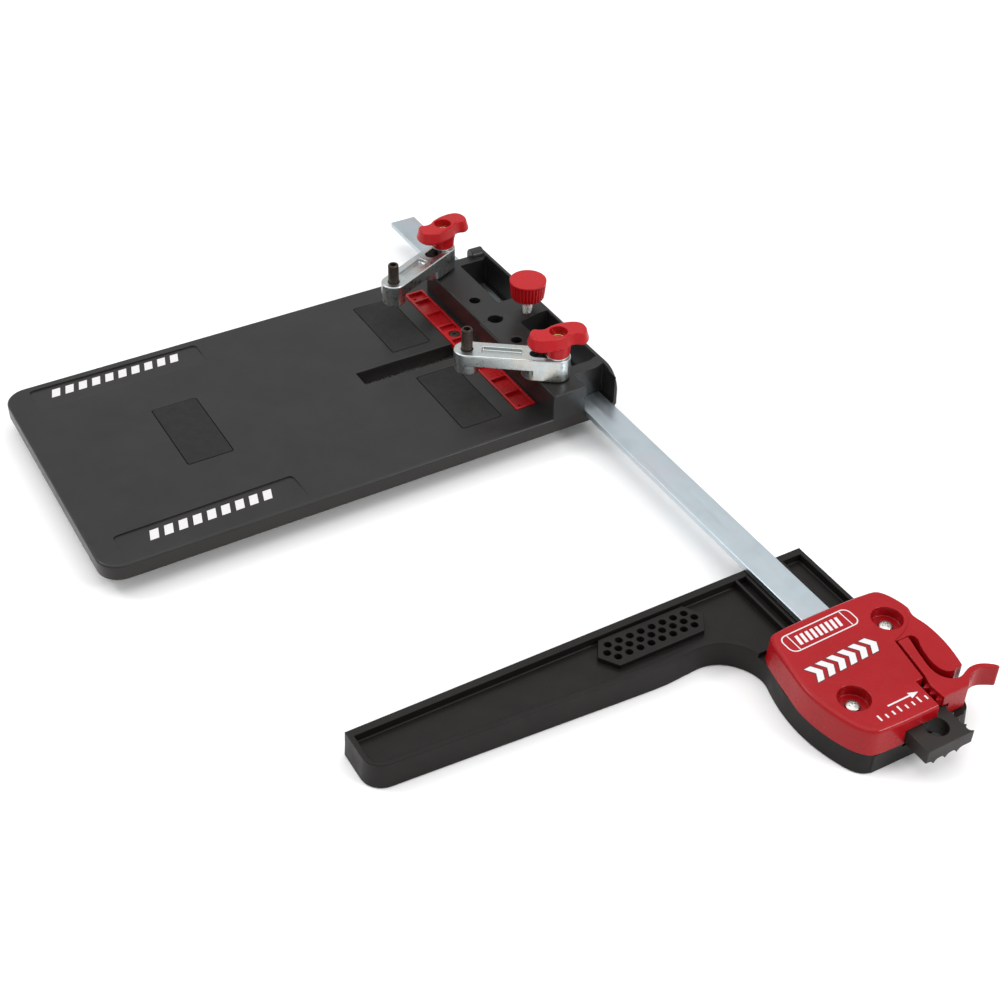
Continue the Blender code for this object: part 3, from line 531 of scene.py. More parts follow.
def make_materials():
    """Materials by slot, or by look where one slot has several."""
    return {
        # the plate's flanks get painted shade, darker and browner than its top
        "plate_plastic": plastic("plate_plastic", (0.0105, 0.0102, 0.0098), (0.0155, 0.0150, 0.0144), 0.34,
                                 specular=0.34, shaded_flanks=(0.0088, 0.0066, 0.0048)),
        "fence_plastic": plastic("fence_plastic", (0.0058, 0.0050, 0.0044), (0.0088, 0.0076, 0.0066), 0.44,
                                 specular=0.2),
        "rack_plastic": plastic("rack_plastic", (0.0105, 0.0085, 0.0072), (0.0155, 0.0125, 0.0105), 0.45,
                                0.5, 0.03, specular=0.3),
        "cover": plastic("cover_plastic", (0.285, 0.0030, 0.0058), (0.325, 0.0042, 0.0085), 0.25,
                         0.4, 0.012, edge=0.5, specular=0.24),
        "knob": plastic("knob_plastic", (0.37, 0.0045, 0.0075), (0.43, 0.0060, 0.0100), 0.30,
                        0.4, 0.02, edge=0.5, specular=0.24),
        "insert": plastic("insert_plastic", (0.33, 0.0035, 0.0060), (0.39, 0.0055, 0.0085), 0.28, 0.5, 0.015),
        "pad_rubber": rubber(),
        "bar_zinc": zinc("bar_zinc", (0.49, 0.56, 0.60), (0.51, 0.54, 0.58), 0.36, 26.0, (1.0, 0.05, 1.0)),
        "arm_zinc": zinc("arm_zinc", (0.53, 0.565, 0.57), (0.56, 0.545, 0.495), 0.30, 13.0, (1.0, 1.0, 1.0),
                         0.5, 0.014),
        "bright_steel": bare_metal("bright_steel", (0.46, 0.46, 0.45), (0.66, 0.65, 0.62), 0.32),
        "dark_steel": bare_metal("dark_steel", (0.035, 0.026, 0.022), (0.07, 0.052, 0.042), 0.42,
                                 metallic=0.75),
        "brass": bare_metal("brass", (0.55, 0.34, 0.10), (0.78, 0.55, 0.22), 0.28),
        "print": paint("white_print", (0.68, 0.66, 0.67)),
        "shadow": paint("dark_print", (0.10, 0.012, 0.014)),
    }


# ---------------------------------------------------------------- base plate
def rail_profile():
    arc = [math.radians(9.0 * k) for k in range(11)]
    near = [(RAIL_ROUND * (1 - math.cos(a)), RAIL_TOP_NEAR - RAIL_ROUND * (1 - math.sin(a))) for a in arc]
    far = [(RAIL_FAR - 5.0 + 5.0 * math.sin(a), RAIL_TOP_FAR - 5.0 + 5.0 * math.cos(a)) for a in arc]
    # counter-clockwise in (y, z)
    loop = [(0.0, 6.0)] + near + [(BLOCK_SPLIT, RAIL_TOP_NEAR), (BLOCK_SPLIT + 0.8, RAIL_TOP_FAR)] + far
    loop.append((RAIL_FAR, 6.0))
    return loop[::-1]


def cove(x, low, high, width, y0, y1, steps=8):
    """Hollow-curved fillet that climbs from a flat at height low to a wall at x."""
    rise = high - low
    curve = [(x - width + width * k / steps, low + rise * (1 - math.cos(math.pi / 2 * k / steps)))
             for k in range(steps + 1)]
    outline = [(x - width, low - 1.5), (x + 0.8, low - 1.5), (x + 0.8, high)] + curve[::-1]
    return prism(outline, y0, y1, "Y", "cove")


def build_plate():
    outline = rounded([(0.0, 0.0, 14.0), (PLATE_RIGHT, 0.0, 2.4), (PLATE_RIGHT, PLATE_WIDTH, 8.0),
                       (0.0, PLATE_WIDTH, 14.0)], 14)
    plate = solid("plate", outline, 0.0, PLATE_TOP, bottom=0.7, top=1.6, steps=5)
    far_edge = RAIL_LEFT + 0.6
    near_plan = rounded([(BLOCK_LEFT_NEAR, 0.0, 1.2), (far_edge, 0.0, 0.0), (far_edge, BLOCK_SPLIT, 0.0),
                         (BLOCK_LEFT_NEAR, BLOCK_SPLIT, 0.6)], 5)
    far_plan = rounded([(BLOCK_LEFT_FAR, BLOCK_SPLIT - 2.0, 0.0), (far_edge, BLOCK_SPLIT - 2.0, 0.0),
                        (far_edge, BLOCK_FAR, 0.0), (BLOCK_LEFT_FAR, BLOCK_FAR, 3.0)], 6)
    join(plate,
         solid("near_block", near_plan, 6.0, BLOCK_TOP_NEAR, top=1.0),
         solid("far_block", far_plan, 6.0, BLOCK_TOP_FAR, top=1.0),
         solid("rail", rail_profile(), RAIL_LEFT, PLATE_RIGHT, bottom=0.8, top=0.9, axis="X"))
    lug = [(RAIL_FAR, 6.0)]
    lug += [(RAIL_FAR - 4.6 + 4.6 * math.cos(a), PLATE_HIGH.z - 4.6 + 4.6 * math.sin(a))
            for a in (math.pi * k / 16 for k in range(17))]
    lug.append((RAIL_FAR - 9.2, 6.0))
    join(plate, solid("lug", lug, 321.6, RAIL_LEFT + 1.0, bottom=0.7, axis="X"))
    # the swelling around the thumb screw climbs from the block to the rail
    climb = [(303.5 + 24.5 * k / 16, 27.3 + 2.9 * (0.5 - 0.5 * math.cos(math.pi * k / 16)))
             for k in range(17)]
    hump = [(303.5, 22.0), (far_edge + 1.2, 22.0), (far_edge + 1.2, 30.2)] + climb[::-1]
    join(plate, prism(hump, WINDOW_NEAR[3] + 0.01, BLOCK_SPLIT, "Y", "hump"),
         cove(RAIL_LEFT, BLOCK_TOP_NEAR, RAIL_TOP_NEAR - 0.3, 6.0, MOUTH[3] + 0.01, WINDOW_NEAR[2] - 0.01),
         cove(RAIL_LEFT, BLOCK_TOP_FAR, RAIL_TOP_FAR - 0.3, 3.0, BLOCK_SPLIT + 0.5, WINDOW_FAR[2] - 0.01),
         cove(RAIL_LEFT, BLOCK_TOP_FAR, RAIL_TOP_FAR - 0.3, 2.5, WINDOW_FAR[3] + 0.01, BLOCK_FAR - 1.0))

    bar_low, bar_high = extents("guide_bar")
    half = (bar_high.x - bar_low.x) / 2.0 + 0.4
    cut(plate, block(BAR_CENTRE - half, BAR_CENTRE + half, -5.0, PLATE_WIDTH + 5.0,
                     bar_low.z - 0.3, bar_high.z + 0.3))
    top = RAIL_TOP_NEAR + 3.0
    for x0, x1, y0, y1 in (MOUTH, WINDOW_NEAR, WINDOW_FAR):
        cut(plate, cutter(rectangle(x0, x1, y0, y1, 0.5, 3), bar_high.z, top))
    insert_low, insert_high = extents("ladder_insert")
    pocket = (insert_low.x - 0.3, insert_high.x + 0.3, insert_low.y - 0.3, insert_high.y + 0.3)
    cut(plate, cutter(rectangle(*SLOT, 0.6, 3), -1.0, PLATE_TOP, 0.4),
        cutter(rectangle(*pocket), insert_low.z - 0.3, PLATE_TOP, over=0.9),
        cutter(circle(*INSERT_SCREW, 1.7, 16), 2.0, PLATE_TOP))
    pads = []
    for node in GRIP_PADS:
        low, high = extents(node)
        grown = (low.x - 0.4, high.x + 0.4, low.y - 0.4, high.y + 0.4)
        pads.append(cutter(rectangle(*grown, 1.5, 5), low.z - 0.2, PLATE_TOP, 0.45, 3))
    cut(plate, merged(pads))

    for corners, floor in LABEL_FIELDS:
        cut(plate, sheet("cutter", rounded(corners, 5), floor, lambda y: PLATE_TOP + 1.0))

    # ribbed underside
    ceiling = PLATE_TOP - 4.2
    rows = ((7.0, 47.0), (50.0, 87.0), (105.0, 141.0), (144.0, PLATE_WIDTH - 7.0))
    bays = (7.0, 45.5, 84.0, 122.5, 161.0)
    rooms = [(x, x + 35.5, y0, y1) for y0, y1 in rows for x in bays]
    rooms += [(x, x + 30.0, y0, y1) for y0, y1 in rows for x in (205.0, 238.0)]
    rooms += [(x, x + 35.5, 90.0, 102.0) for x in bays[:-1]]
    cut(plate, merged([prism(rectangle(*room, 2.0, 3), -1.0, ceiling) for room in rooms]))

    holes = []
    for x, y, radius in SPARE_HOLES:
        top = BLOCK_TOP_NEAR if y < BLOCK_SPLIT + 1 else BLOCK_TOP_FAR
        holes.append(cutter(circle(x, y, radius, 40), 3.0, top, 0.5))
    for side in ("near", "far"):
        centre = in_mm(joint(f"arm_{side}_swivel")["pos_m"])
        holes.append(cutter(circle(centre.x, centre.y, 3.3, 32), -1.0, 40.0))
        cut(plate, prism(circle(centre.x, centre.y, 6.6, 32), -1.0, 5.2))
    holes.append(cutter(circle(*THUMB, 3.6, 32), 6.0, 40.0))
    cut(plate, merged(holes))
    # joint line between the two halves of the block
    groove = [(BLOCK_LEFT_NEAR - 1.0, BLOCK_SPLIT - 0.1), (THUMB[0] - 3.0, BLOCK_SPLIT - 0.1),
              (THUMB[0] - 3.0, BLOCK_SPLIT + 0.7), (BLOCK_LEFT_NEAR - 1.0, BLOCK_SPLIT + 0.7)]
    cut(plate, prism(groove, BLOCK_TOP_FAR - 0.9, 32.0))
    plate.name = "plate_shell"
    finish(plate, "base", "plate_plastic", ["base_plate"])


def build_pads():
    for node in GRIP_PADS:
        low, high = extents(node)
        plan = rectangle(low.x, high.x, low.y, high.y, 1.2, 5)
        pad = solid("rubber_" + node[5:], plan, low.z, high.z, top=0.35)
        finish(pad, "base", "pad_rubber", [node])


def build_insert():
    low, high = extents("ladder_insert")
    x0, x1, y0, y1 = low.x, high.x, low.y, high.y
    ladder = solid("ladder", rectangle(x0, x1, y0, y1, 0.6, 3), low.z, high.z, top=0.3, steps=3)
    wall, pitch, floor = 1.6, 17.2, low.z + 1.0
    screw_x, screw_y = INSERT_SCREW
    cells = []
    edge = y0 + wall
    while edge < y1 - wall - 1.0:
        end = min(edge + pitch - wall, y1 - wall)
        if end < screw_y - 6.0 or edge > screw_y + 6.0:
            cells.append((edge, end))
        else:
            cells += [(a, b) for a, b in ((edge, screw_y - 5.6), (screw_y + 5.6, end)) if b - a > 1.5]
        edge = end + wall
    pockets = [cutter(rectangle(x0 + wall, x1 - wall, a, b, 0.5, 3), floor, high.z, 0.25, 3)
               for a, b in cells]
    cut(ladder, merged(pockets), cutter(circle(screw_x, screw_y, 3.9, 40), 9.0, high.z, 0.3),
        cutter(circle(screw_x, screw_y, 2.0, 24), low.z - 1.0, high.z))
    # drain holes in the end cells
    cut(ladder, merged([cutter(circle(x0 + 5.2, y, 0.9, 16), low.z - 1.0, high.z)
                        for y in (y0 + 5.0, y1 - 6.0)]))
    ladder.name = "insert_ladder"
    finish(ladder, "base", "red_plastic", ["ladder_insert"], "insert")
    screw = turned_solid("insert_cap_screw", screw_x, screw_y,
                         [(1.4, 3.2), (1.4, 9.3), (3.1, 9.3), (3.5, 9.6), (3.5, 10.1), (3.3, 10.35),
                          (2.9, 10.4)])
    cut(screw, cutter(circle(screw_x, screw_y, 1.5, 6), 9.6, 10.4))
    finish(screw, "base", "dark_steel", ["insert_screw"])


# ---------------------------------------------------------------- bar and rack
def build_bar():
    low, high = extents("guide_bar")
    profile = rectangle(low.x, high.x, low.z, high.z, 0.55, 4)
    bar = solid("flat_bar", profile, low.y, high.y, bottom=0.35, top=0.35, steps=3, axis="Y")
    centre = middle("rack_rivet")
    cut(bar, cutter(circle(centre.x, centre.y, 2.8, 24), 0.0, 12.0))
    finish(bar, "bar", "bar_zinc", ["guide_bar"])


def build_rack():
    low, high = extents("rack")
    plan = rounded([(low.x, low.y, 0.6), (high.x, low.y, 0.0), (high.x, high.y, 0.0),
                    (low.x, high.y, 1.5)], 4)
    rack = solid("toothed_rack", plan, RACK_BOTTOM, high.z, top=0.35, steps=3)
    radius = (RACK_PITCH ** 2 / 4.0 + RACK_TOOTH ** 2) / (2.0 * RACK_TOOTH)
    x = high.x - RACK_TOOTH + radius
    for k in range(int((high.y - low.y) / RACK_PITCH)):
        y = low.y + RACK_PITCH * (RACK_PHASE + k)
        levels = ((-2.0, 0.0), (high.z - 0.3, 0.0), (high.z + 0.2, 0.4))
        cut(rack, loft("cutter", [(z, circle(x, y, radius + grow, 40)) for z, grow in levels]))
    # the ridges below
    depth, ridge = RACK_BOTTOM - low.z, 7.6
    flute = ((ridge / 2.0 - 0.2) ** 2 + depth ** 2) / (2.0 * depth)
    left = 305.2
    keel = block(left, left + 3 * ridge, low.y, high.y, low.z, RACK_BOTTOM + 0.5)
    for k in range(4):
        ring = circle(left + k * ridge, RACK_BOTTOM - flute, flute, 48)
        cut(keel, prism(ring, low.y - 2.0, high.y + 2.0, "Y"))
    x, y, hole = PIVOT_HOLE
    join(rack, keel, prism(circle(x, y, hole + 1.6, 56), low.z, RACK_BOTTOM + 0.5))
    bar_low, bar_high = extents("guide_bar")
    centre = middle("rack_rivet")
    cut(rack, block(bar_low.x - 0.2, bar_high.x + 0.2, bar_low.y - 0.3, high.y + 2.0,
                    bar_low.z - 0.2, bar_high.z + 0.2),
        cutter(circle(centre.x, centre.y, 2.8, 24), -3.0, 12.0),
        cutter(circle(x, y, hole, 56), -3.0, high.z, 0.4, 4))
    finish(rack, "bar", "rack_plastic", ["rack"])
    foot, head = (corner.z for corner in extents("rack_rivet"))
    pin = turned_solid("rack_pin", centre.x, centre.y, [(2.5, foot), (2.5, head - 0.5), (2.2, head)], 32)
    finish(pin, "bar", "bright_steel", ["rack_rivet"])


# ---------------------------------------------------------------- edge fence
def fence_outline(corner):
    near = [(205.0, -200.9), (231.0, -202.1), (246.0, -201.2), (254.5, -200.9), (261.5, -202.5),
            (267.5, -206.2), (272.4, -212.0), (275.6, -219.0), (276.3, -226.5), (274.2, -234.5),
            (271.8, -245.0), (270.4, -259.0),
            (271.1, -272.0), (273.8, -284.5), (277.2, -293.8), (280.4, -298.2), (284.6, HEAD_NEAR + 0.2),
            (289.0, HEAD_NEAR), (343.4, HEAD_NEAR), (347.4, -299.6), (350.0, -296.2), (354.2, -283.5),
            (357.8, -268.0), (359.0, -252.0), (358.0, -236.0), (355.0, -224.5), (349.2, -217.5)]
    left = rounded([(FENCE_LEFT, FENCE_FACE, corner), (FENCE_LEFT, -192.2, 12.0 if corner else 10.0),
                    (205.0, -200.9, 0.0), (205.0, FENCE_FACE, 0.0)], 8)
    left = [point for point in left if point[0] < 204.0]
    right = rounded([(FENCE_RIGHT, -217.5, 0.0), (FENCE_RIGHT, FENCE_FACE, corner),
                     (205.0, FENCE_FACE, 0.0)], 6)
    right = [point for point in right if point[0] > 206.0][1:]
    return left + spline(near, 4) + right


def keep_face(outline, distance):
    """Inset the outline but keep the working face and the near end upright."""
    return [(moved[0], y if y > FENCE_FACE - 1.3 or y < HEAD_NEAR + 0.1 else moved[1])
            for (_, y), moved in zip(outline, inset(outline, distance))]


def build_fence():
    outline, square = fence_outline(1.2), fence_outline(0.0)
    fence = solid("fence", outline, FENCE_BOTTOM, FENCE_RIM, bottom=0.5, top=0.7, draft=1.4, steps=4,
                  shrink=keep_face)
    cut(fence, block(240.0, 380.0, -320.0, COVER_FAR + 0.3, SEAM, 12.0))
    tray = cutter(inset(square, 4.3), -0.6, FENCE_RIM, 0.4, 3, foot=0.8)
    cut(tray, block(240.0, 380.0, -330.0, COVER_FAR + 1.2, -5.0, 14.0))
    cut(fence, tray)
    low, high = extents("rack")
    bar_low = extents("guide_bar")[0]
    cut(fence, block(low.x - 0.6, high.x + 0.6, -330.0, -246.0, low.z - 0.3, 4.0))
    left, right = BAR_CENTRE - 11.3, BAR_CENTRE + 11.3
    far, near = FENCE_FACE - 1.0, COVER_FAR + 0.3
    for x0, x1, top in ((left, right, bar_low.z - 0.4), (left - 7.2, left - 5.4, bar_low.z - 0.6),
                        (right + 1.6, right + 3.2, bar_low.z - 0.6)):
        profile = [(x0, -3.0), (x1, -3.0), (x1, top - 0.4), (x1 - 0.4, top), (x0 + 0.4, top), (x0, top - 0.4)]
        join(fence, prism(profile, near, far, "Y"))
    hexagon = rounded([(203.4, -178.2, 1.0), (210.3, -188.8, 1.0), (264.0, -188.8, 1.0), (270.6, -178.2, 1.0),
                       (264.0, -167.6, 1.0), (210.3, -167.6, 1.0)], 4)
    join(fence, solid("hive_block", hexagon, -3.0, 2.7, top=0.5))
    rows = ((8, 213.1, -172.9), (9, 209.5, -177.9), (8, 213.1, -182.9))
    centres = [(x + k * 6.92, y) for count, x, y in rows for k in range(count)]
    cut(fence, merged([cutter(circle(x, y, 2.1, 24), -14.0, 2.7, 0.3, 3) for x, y in centres]))

    hollow = solid("cutter", inset(square, 4.4), FENCE_BOTTOM - 2.0, -3.2, draft=0.6)
    ribs = [(x, x + 2.0, -230.0, -150.0) for x in (97.0, 130.0, 163.0, 196.0, 274.0, 301.0, 334.0)]
    ribs += [(240.0, 380.0, -221.0, -216.0), (301.0, 334.0, -310.0, -221.2),
             (240.0, 300.9, -285.0, -267.5), (334.1, 380.0, -249.0, -231.0)]
    for x0, x1, y0, y1 in ribs:
        cut(hollow, block(x0, x1, y0, y1, -14.0, 0.0))
    cut(fence, hollow)
    cut(fence, merged([cutter(circle(x, y, 2.3, 24), -6.0, 10.0) for x, y in COVER_SCREWS.values()]))
    fence.name = "fence_shell"
    finish(fence, "fence", "fence_plastic", ["fence_body"])


def cover_outline():
    return spline([(284.0, COVER_FAR), (280.2, -220.0), (277.7, -223.9), (275.2, -234.0), (272.8, -247.0),
                   (270.9, -260.0), (271.7, -273.0), (274.6, -285.3), (279.0, -295.0), (283.8, -299.6),
                   (290.4, -300.9), (341.0, -300.9), (346.3, -299.4), (350.0, -295.4), (354.7, -283.5),
                   (358.0, -269.0), (358.7, -258.0), (358.2, -251.4), (357.4, -247.6), (357.0, -244.6),
                   (357.5, -242.2), (358.4, -240.0), (358.5, -237.4), (357.6, -232.0), (355.2, -225.0),
                   (351.8, -220.4), (346.5, COVER_FAR)], 5, closed=True)


def build_cover():
    outline = cover_outline()
    cover = solid("cover", outline, SEAM + 0.3, COVER_TOP, bottom=0.25, top=2.4, draft=0.9, steps=8)
    bar_top = extents("guide_bar")[1].z
    cut(cover, block(307.4, 329.6, -260.0, -210.0, 0.0, bar_top + 0.5),
        block(RACK_LEFT - 0.6, RACK_RIGHT + 0.5, -320.0, -246.0, 0.0, COVER_ROOF))
    # one tool frees the lever: a slit on its left, a window, the open corner and a slit on its right
    left = [(334.0, -254.9), (329.2, -281.0)]
    step = spline([(329.2, -281.0), (328.9, -281.9), (327.9, -282.3), (324.0, -282.1)], 3)[1:]
    window = [(322.6, -310.0), (375.0, -310.0), (375.0, -283.0), (353.9, -283.0), (353.5, -283.9),
              (352.6, -284.3), (351.4, -284.4)]
    right = spline([(349.5, -284.6), (347.2, -285.3), (344.6, -284.9), (342.5, -283.3), (341.3, -280.8),
                    (340.9, -277.6), (341.2, -273.6), (342.0, -269.6), (343.0, -265.6), (344.4, -262.2),
                    (345.6, -259.8), (345.7, -257.6), (344.8, -255.8), (343.4, -254.9)], 3)
    cut(cover, cutter(left + step + window + right, -2.0, COVER_TOP, 0.45, 4, over=3.0))
    ledge = spline([(375.0, -232.0), (362.0, -236.4), (355.6, -241.4), (351.6, -245.5), (347.9, -248.7),
                    (343.7, -251.4), (339.5, -253.2), (335.6, -254.3)], 4)
    cut(cover, cutter(ledge + [(335.2, -257.0), (331.0, -281.0), (340.0, -320.0), (375.0, -320.0)],
                      COVER_TOP - LEVER_LEDGE, COVER_TOP, 0.5, 4))
    for x, y in COVER_SCREWS.values():
        cut(cover, cutter(circle(x, y, 8.5, 72), 11.5, COVER_TOP, 0.6, 5, foot=0.5),
            cutter(circle(x, y, 2.3, 24), -2.0, 20.0))
    cover.name = "cover_shell"
    finish(cover, "fence", "red_plastic", ["fence_cover"], "cover")

    for node, (x, y) in COVER_SCREWS.items():
        low, high = extents(node)
        seat = 11.7
        head = high.z - seat
        dome = [(4.0 * math.cos(a), seat + 0.5 + (head - 0.5) * math.sin(a)) for a in quarter(9)[:8]]
        screw = turned_solid(node[:5] + "_pan_head" + node[11:], x, y,
                             [(2.0, low.z), (2.0, seat), (3.9, seat)] + dome)
        arms = [block(x - 2.3, x + 2.3, y - 0.45, y + 0.45, seat + 0.9, 20.0),
                block(x - 0.45, x + 0.45, y - 2.3, y + 2.3, seat + 0.9, 20.0)]
        cut(screw, *arms)
        finish(screw, "fence", "bright_steel", [node])


def lever_parts():
    """Plan of the lever: root, right side, blade and left side, in clockwise order."""
    right = spline([(342.6, -255.2), (342.0, -258.6), (340.6, -263.4), (339.3, -268.6), (338.0, -274.4),
                    (337.4, -279.0), (338.0, -283.8), (340.4, -287.6), (343.6, -289.6), (347.0, -289.9),
                    (350.2, -288.9), (353.4, -287.6), (357.0, -287.0), (361.0, -287.6), (365.0, -289.6),
                    (367.9, -292.0)], 3)
    tip = spline([(367.9, -292.0), (368.8, -293.2), (368.8, -294.6), (367.6, -294.9), (366.2, -294.0)], 3)[1:]
    under = spline([(366.2, -294.0), (363.6, -292.4), (360.6, -290.9), (357.4, -290.3), (353.8, -291.0),
                    (350.2, -293.0), (347.4, -295.6), (345.9, -296.9)], 3)[1:]
    left = [(329.9, -296.9), (329.5, -296.2), (329.2, -287.2), (330.2, -284.2), (331.5, -280.6),
            (335.4, -258.8), (335.7, -255.0)]
    return right, tip, under, left


def build_lever():
    right, tip, under, left = lever_parts()
    low, high = extents("latch_lever")
    plan = (right + tip + under + left)[::-1]
    lever = solid("lever", plan, COVER_ROOF - 0.1, high.z - LEVER_LEDGE, top=0.6, steps=4)
    rack_near = extents("rack")[0].y
    clear = RACK_RIGHT + 1.2
    teeth = []
    for k in (4, 5, 6):
        y = rack_near + RACK_PITCH * (k + RACK_PHASE)
        teeth += [(clear, y - 1.3), (clear - 0.8, y - 0.35), (clear - 0.8, y + 0.35), (clear, y + 1.3)]
    body = [(clear, -296.9)] + teeth
    body += [(clear, -282.0), (clear + 1.0, -277.0), (337.2, -259.0), (337.8, -255.3)]
    inner = [point for point in right if point[1] > -289.8 and point[0] < 346.0]
    low_plan = body + inner + [(346.2, -290.4), (345.9, -296.9)]
    join(lever, prism(low_plan[::-1], low.z, COVER_ROOF + 1.0))
    blade = [point for point in plan if point[0] > 345.3]
    join(lever, solid("blade", blade, low.z + 1.8, COVER_ROOF + 1.0, bottom=0.5, steps=4))
    # the same teeth climb its left side and show through the window
    ridges = [[(330.9, y - 2.1), (330.9, y + 2.1), (327.0, y + 0.3), (327.0, y - 0.3)]
              for y in (-294.7, -290.1, -285.5)]
    join(lever, merged([prism(ridge, COVER_ROOF, high.z - 3.2) for ridge in ridges]))
    lever.name = "lever_latch"
    finish(lever, "latch", "red_plastic", ["latch_lever"], "cover")


# ---------------------------------------------------------------- clamps
def clamp_frame(side):
    """Bolt centre, direction and distance from the bolt to the pin, pin centre, pin foot and pin top."""
    bolt = in_mm(joint(f"arm_{side}_swivel")["pos_m"])
    axis = joint(f"arm_{side}_slot")["axis"]
    low, high = extents("set_pin_" + side)
    pin = middle("set_pin_" + side)
    return bolt, math.degrees(math.atan2(-axis[1], -axis[0])), (pin - bolt).xy.length, pin, low.z, high.z


def build_clamp(side):
    bolt, angle, span, pin, pin_low, pin_high = clamp_frame(side)
    at = (bolt.x, bolt.y)
    arm_low, arm_high = extents("clamp_arm_" + side)
    foot, under, top, travel, half = arm_low.z, 35.0, arm_high.z, 13.0, 8.2

    def place(outline):
        return turned(outline, at, angle)

    arm = solid("arm", place(stadium(0.0, span, 0.0, half)), under, top, bottom=0.5, top=0.8)
    foot_plan = place(stadium(0.0, travel + 0.8, 0.0, half - 0.02))
    join(arm, solid("foot", foot_plan, foot, under + 1.5, bottom=1.0),
         solid("boss", place(circle(span, 0.0, 7.5, 64)), foot, under + 1.5, bottom=1.0))
    cut(arm, cutter(place(stadium(0.0, travel, 0.0, 4.0, 16)), foot - 2.0, top, 0.45),
        cutter(place(rectangle(21.8, span - 9.2, -3.4, 3.4, 0.9, 5)), top - 2.4, top, 0.35, foot=0.6),
        cutter(place(circle(span, 0.0, 3.85, 40)), foot - 2.0, top, 0.3))
    arm.name = "cast_arm_" + side
    finish(arm, "arm_" + side, "arm_zinc", ["clamp_arm_" + side])

    profile = [(2.75, pin_low), (3.35, pin_low + 0.7)]
    profile += thread(3.53, 3.38, pin_low + 1.2, pin_high - 1.6, 1.25, 0.25, 0.6)
    profile += [(3.5, pin_high - 1.1), (3.5, pin_high - 0.75), (3.0, pin_high)]
    post = turned_solid("threaded_pin_" + side, pin.x, pin.y, profile, 48)
    cut(post, cutter(circle(pin.x, pin.y, 2.3, 6), pin_high - 5.0, pin_high, 0.25))
    finish(post, "pin_" + side, "dark_steel", ["set_pin_" + side], sharp=50.0)

    spacer = collar("shoulder_bush_" + side, "slot_spacer_" + side, *at, 3.7, (0.2, 0.2), (0.2, 0.2))
    cut(spacer, cutter(circle(*at, 3.25, 32), 20.0, 60.0))
    finish(spacer, "spacer_" + side, "bright_steel", ["slot_spacer_" + side])

    washer = collar("flat_washer_" + side, "washer_" + side, *at, 7.2, (0.15, 0.15), (0.15, 0.15))
    cut(washer, cutter(circle(*at, 3.3, 32), 30.0, 60.0))
    finish(washer, "washer_" + side, "bright_steel", ["washer_" + side])

    bolt_low, bolt_high = extents("clamp_bolt_" + side)
    profile = [(2.95, 3.0), (2.95, 30.0)] + thread(3.0, 2.72, 30.5, bolt_high.z - 1.0)
    profile += [(2.9, bolt_high.z - 0.4), (2.4, bolt_high.z)]
    stem = turned_solid("stem", *at, profile)
    head = solid("hex_bolt_" + side, circle(*at, 5.9, 6), bolt_low.z, 4.9, bottom=0.3)
    join(head, stem)
    finish(head, "base", "bright_steel", ["clamp_bolt_" + side], sharp=50.0)
    build_wing(side, at)


def build_wing(side, at):
    low, high = extents("wing_knob_" + side)
    plan = spline(WING_LOBE + [(-u, -v) for u, v in WING_LOBE], 4, closed=True)
    plan = turned([(0.997 * u, 0.997 * v) for u, v in plan], at, WING_TURN[side])
    under, top = high.z - 8.8, high.z
    levels = [(under + 2.6 * (1 - math.cos(a)), 2.6 * (1 - math.sin(a))) for a in quarter(6)]
    levels += [(top - 1.3 + 1.3 * math.sin(a), 1.4 + 1.3 * (1 - math.cos(a))) for a in quarter(6)]
    wing = loft("wing", [(z, inset(plan, amount)) for z, amount in levels])
    hub = turned_solid("hub", *at,
                       [(7.1, low.z), (7.4, low.z + 0.3), (7.9, under - 2.2), (8.2, under - 0.8),
                        (8.6, under + 0.3), (8.6, under + 2.2)])
    join(wing, hub)
    cut(wing, cutter(circle(*at, 5.5, 56), top - 4.6, top, 0.6, 5),
        cutter(circle(*at, 4.6, 40), 30.0, 70.0))
    wing.name = "wing_grip_" + side
    finish(wing, "wing_" + side, "red_plastic", ["wing_knob_" + side], "knob")
    insert = "thread_insert_" + side
    bush = collar("brass_bush_" + side, insert, *at, 4.4, (0.2, 0.2), (0.3, 0.3))
    cut(bush, cutter(circle(*at, 3.25, 40), 30.0, extents(insert)[1].z, 0.3))
    finish(bush, "wing_" + side, "brass", [insert])


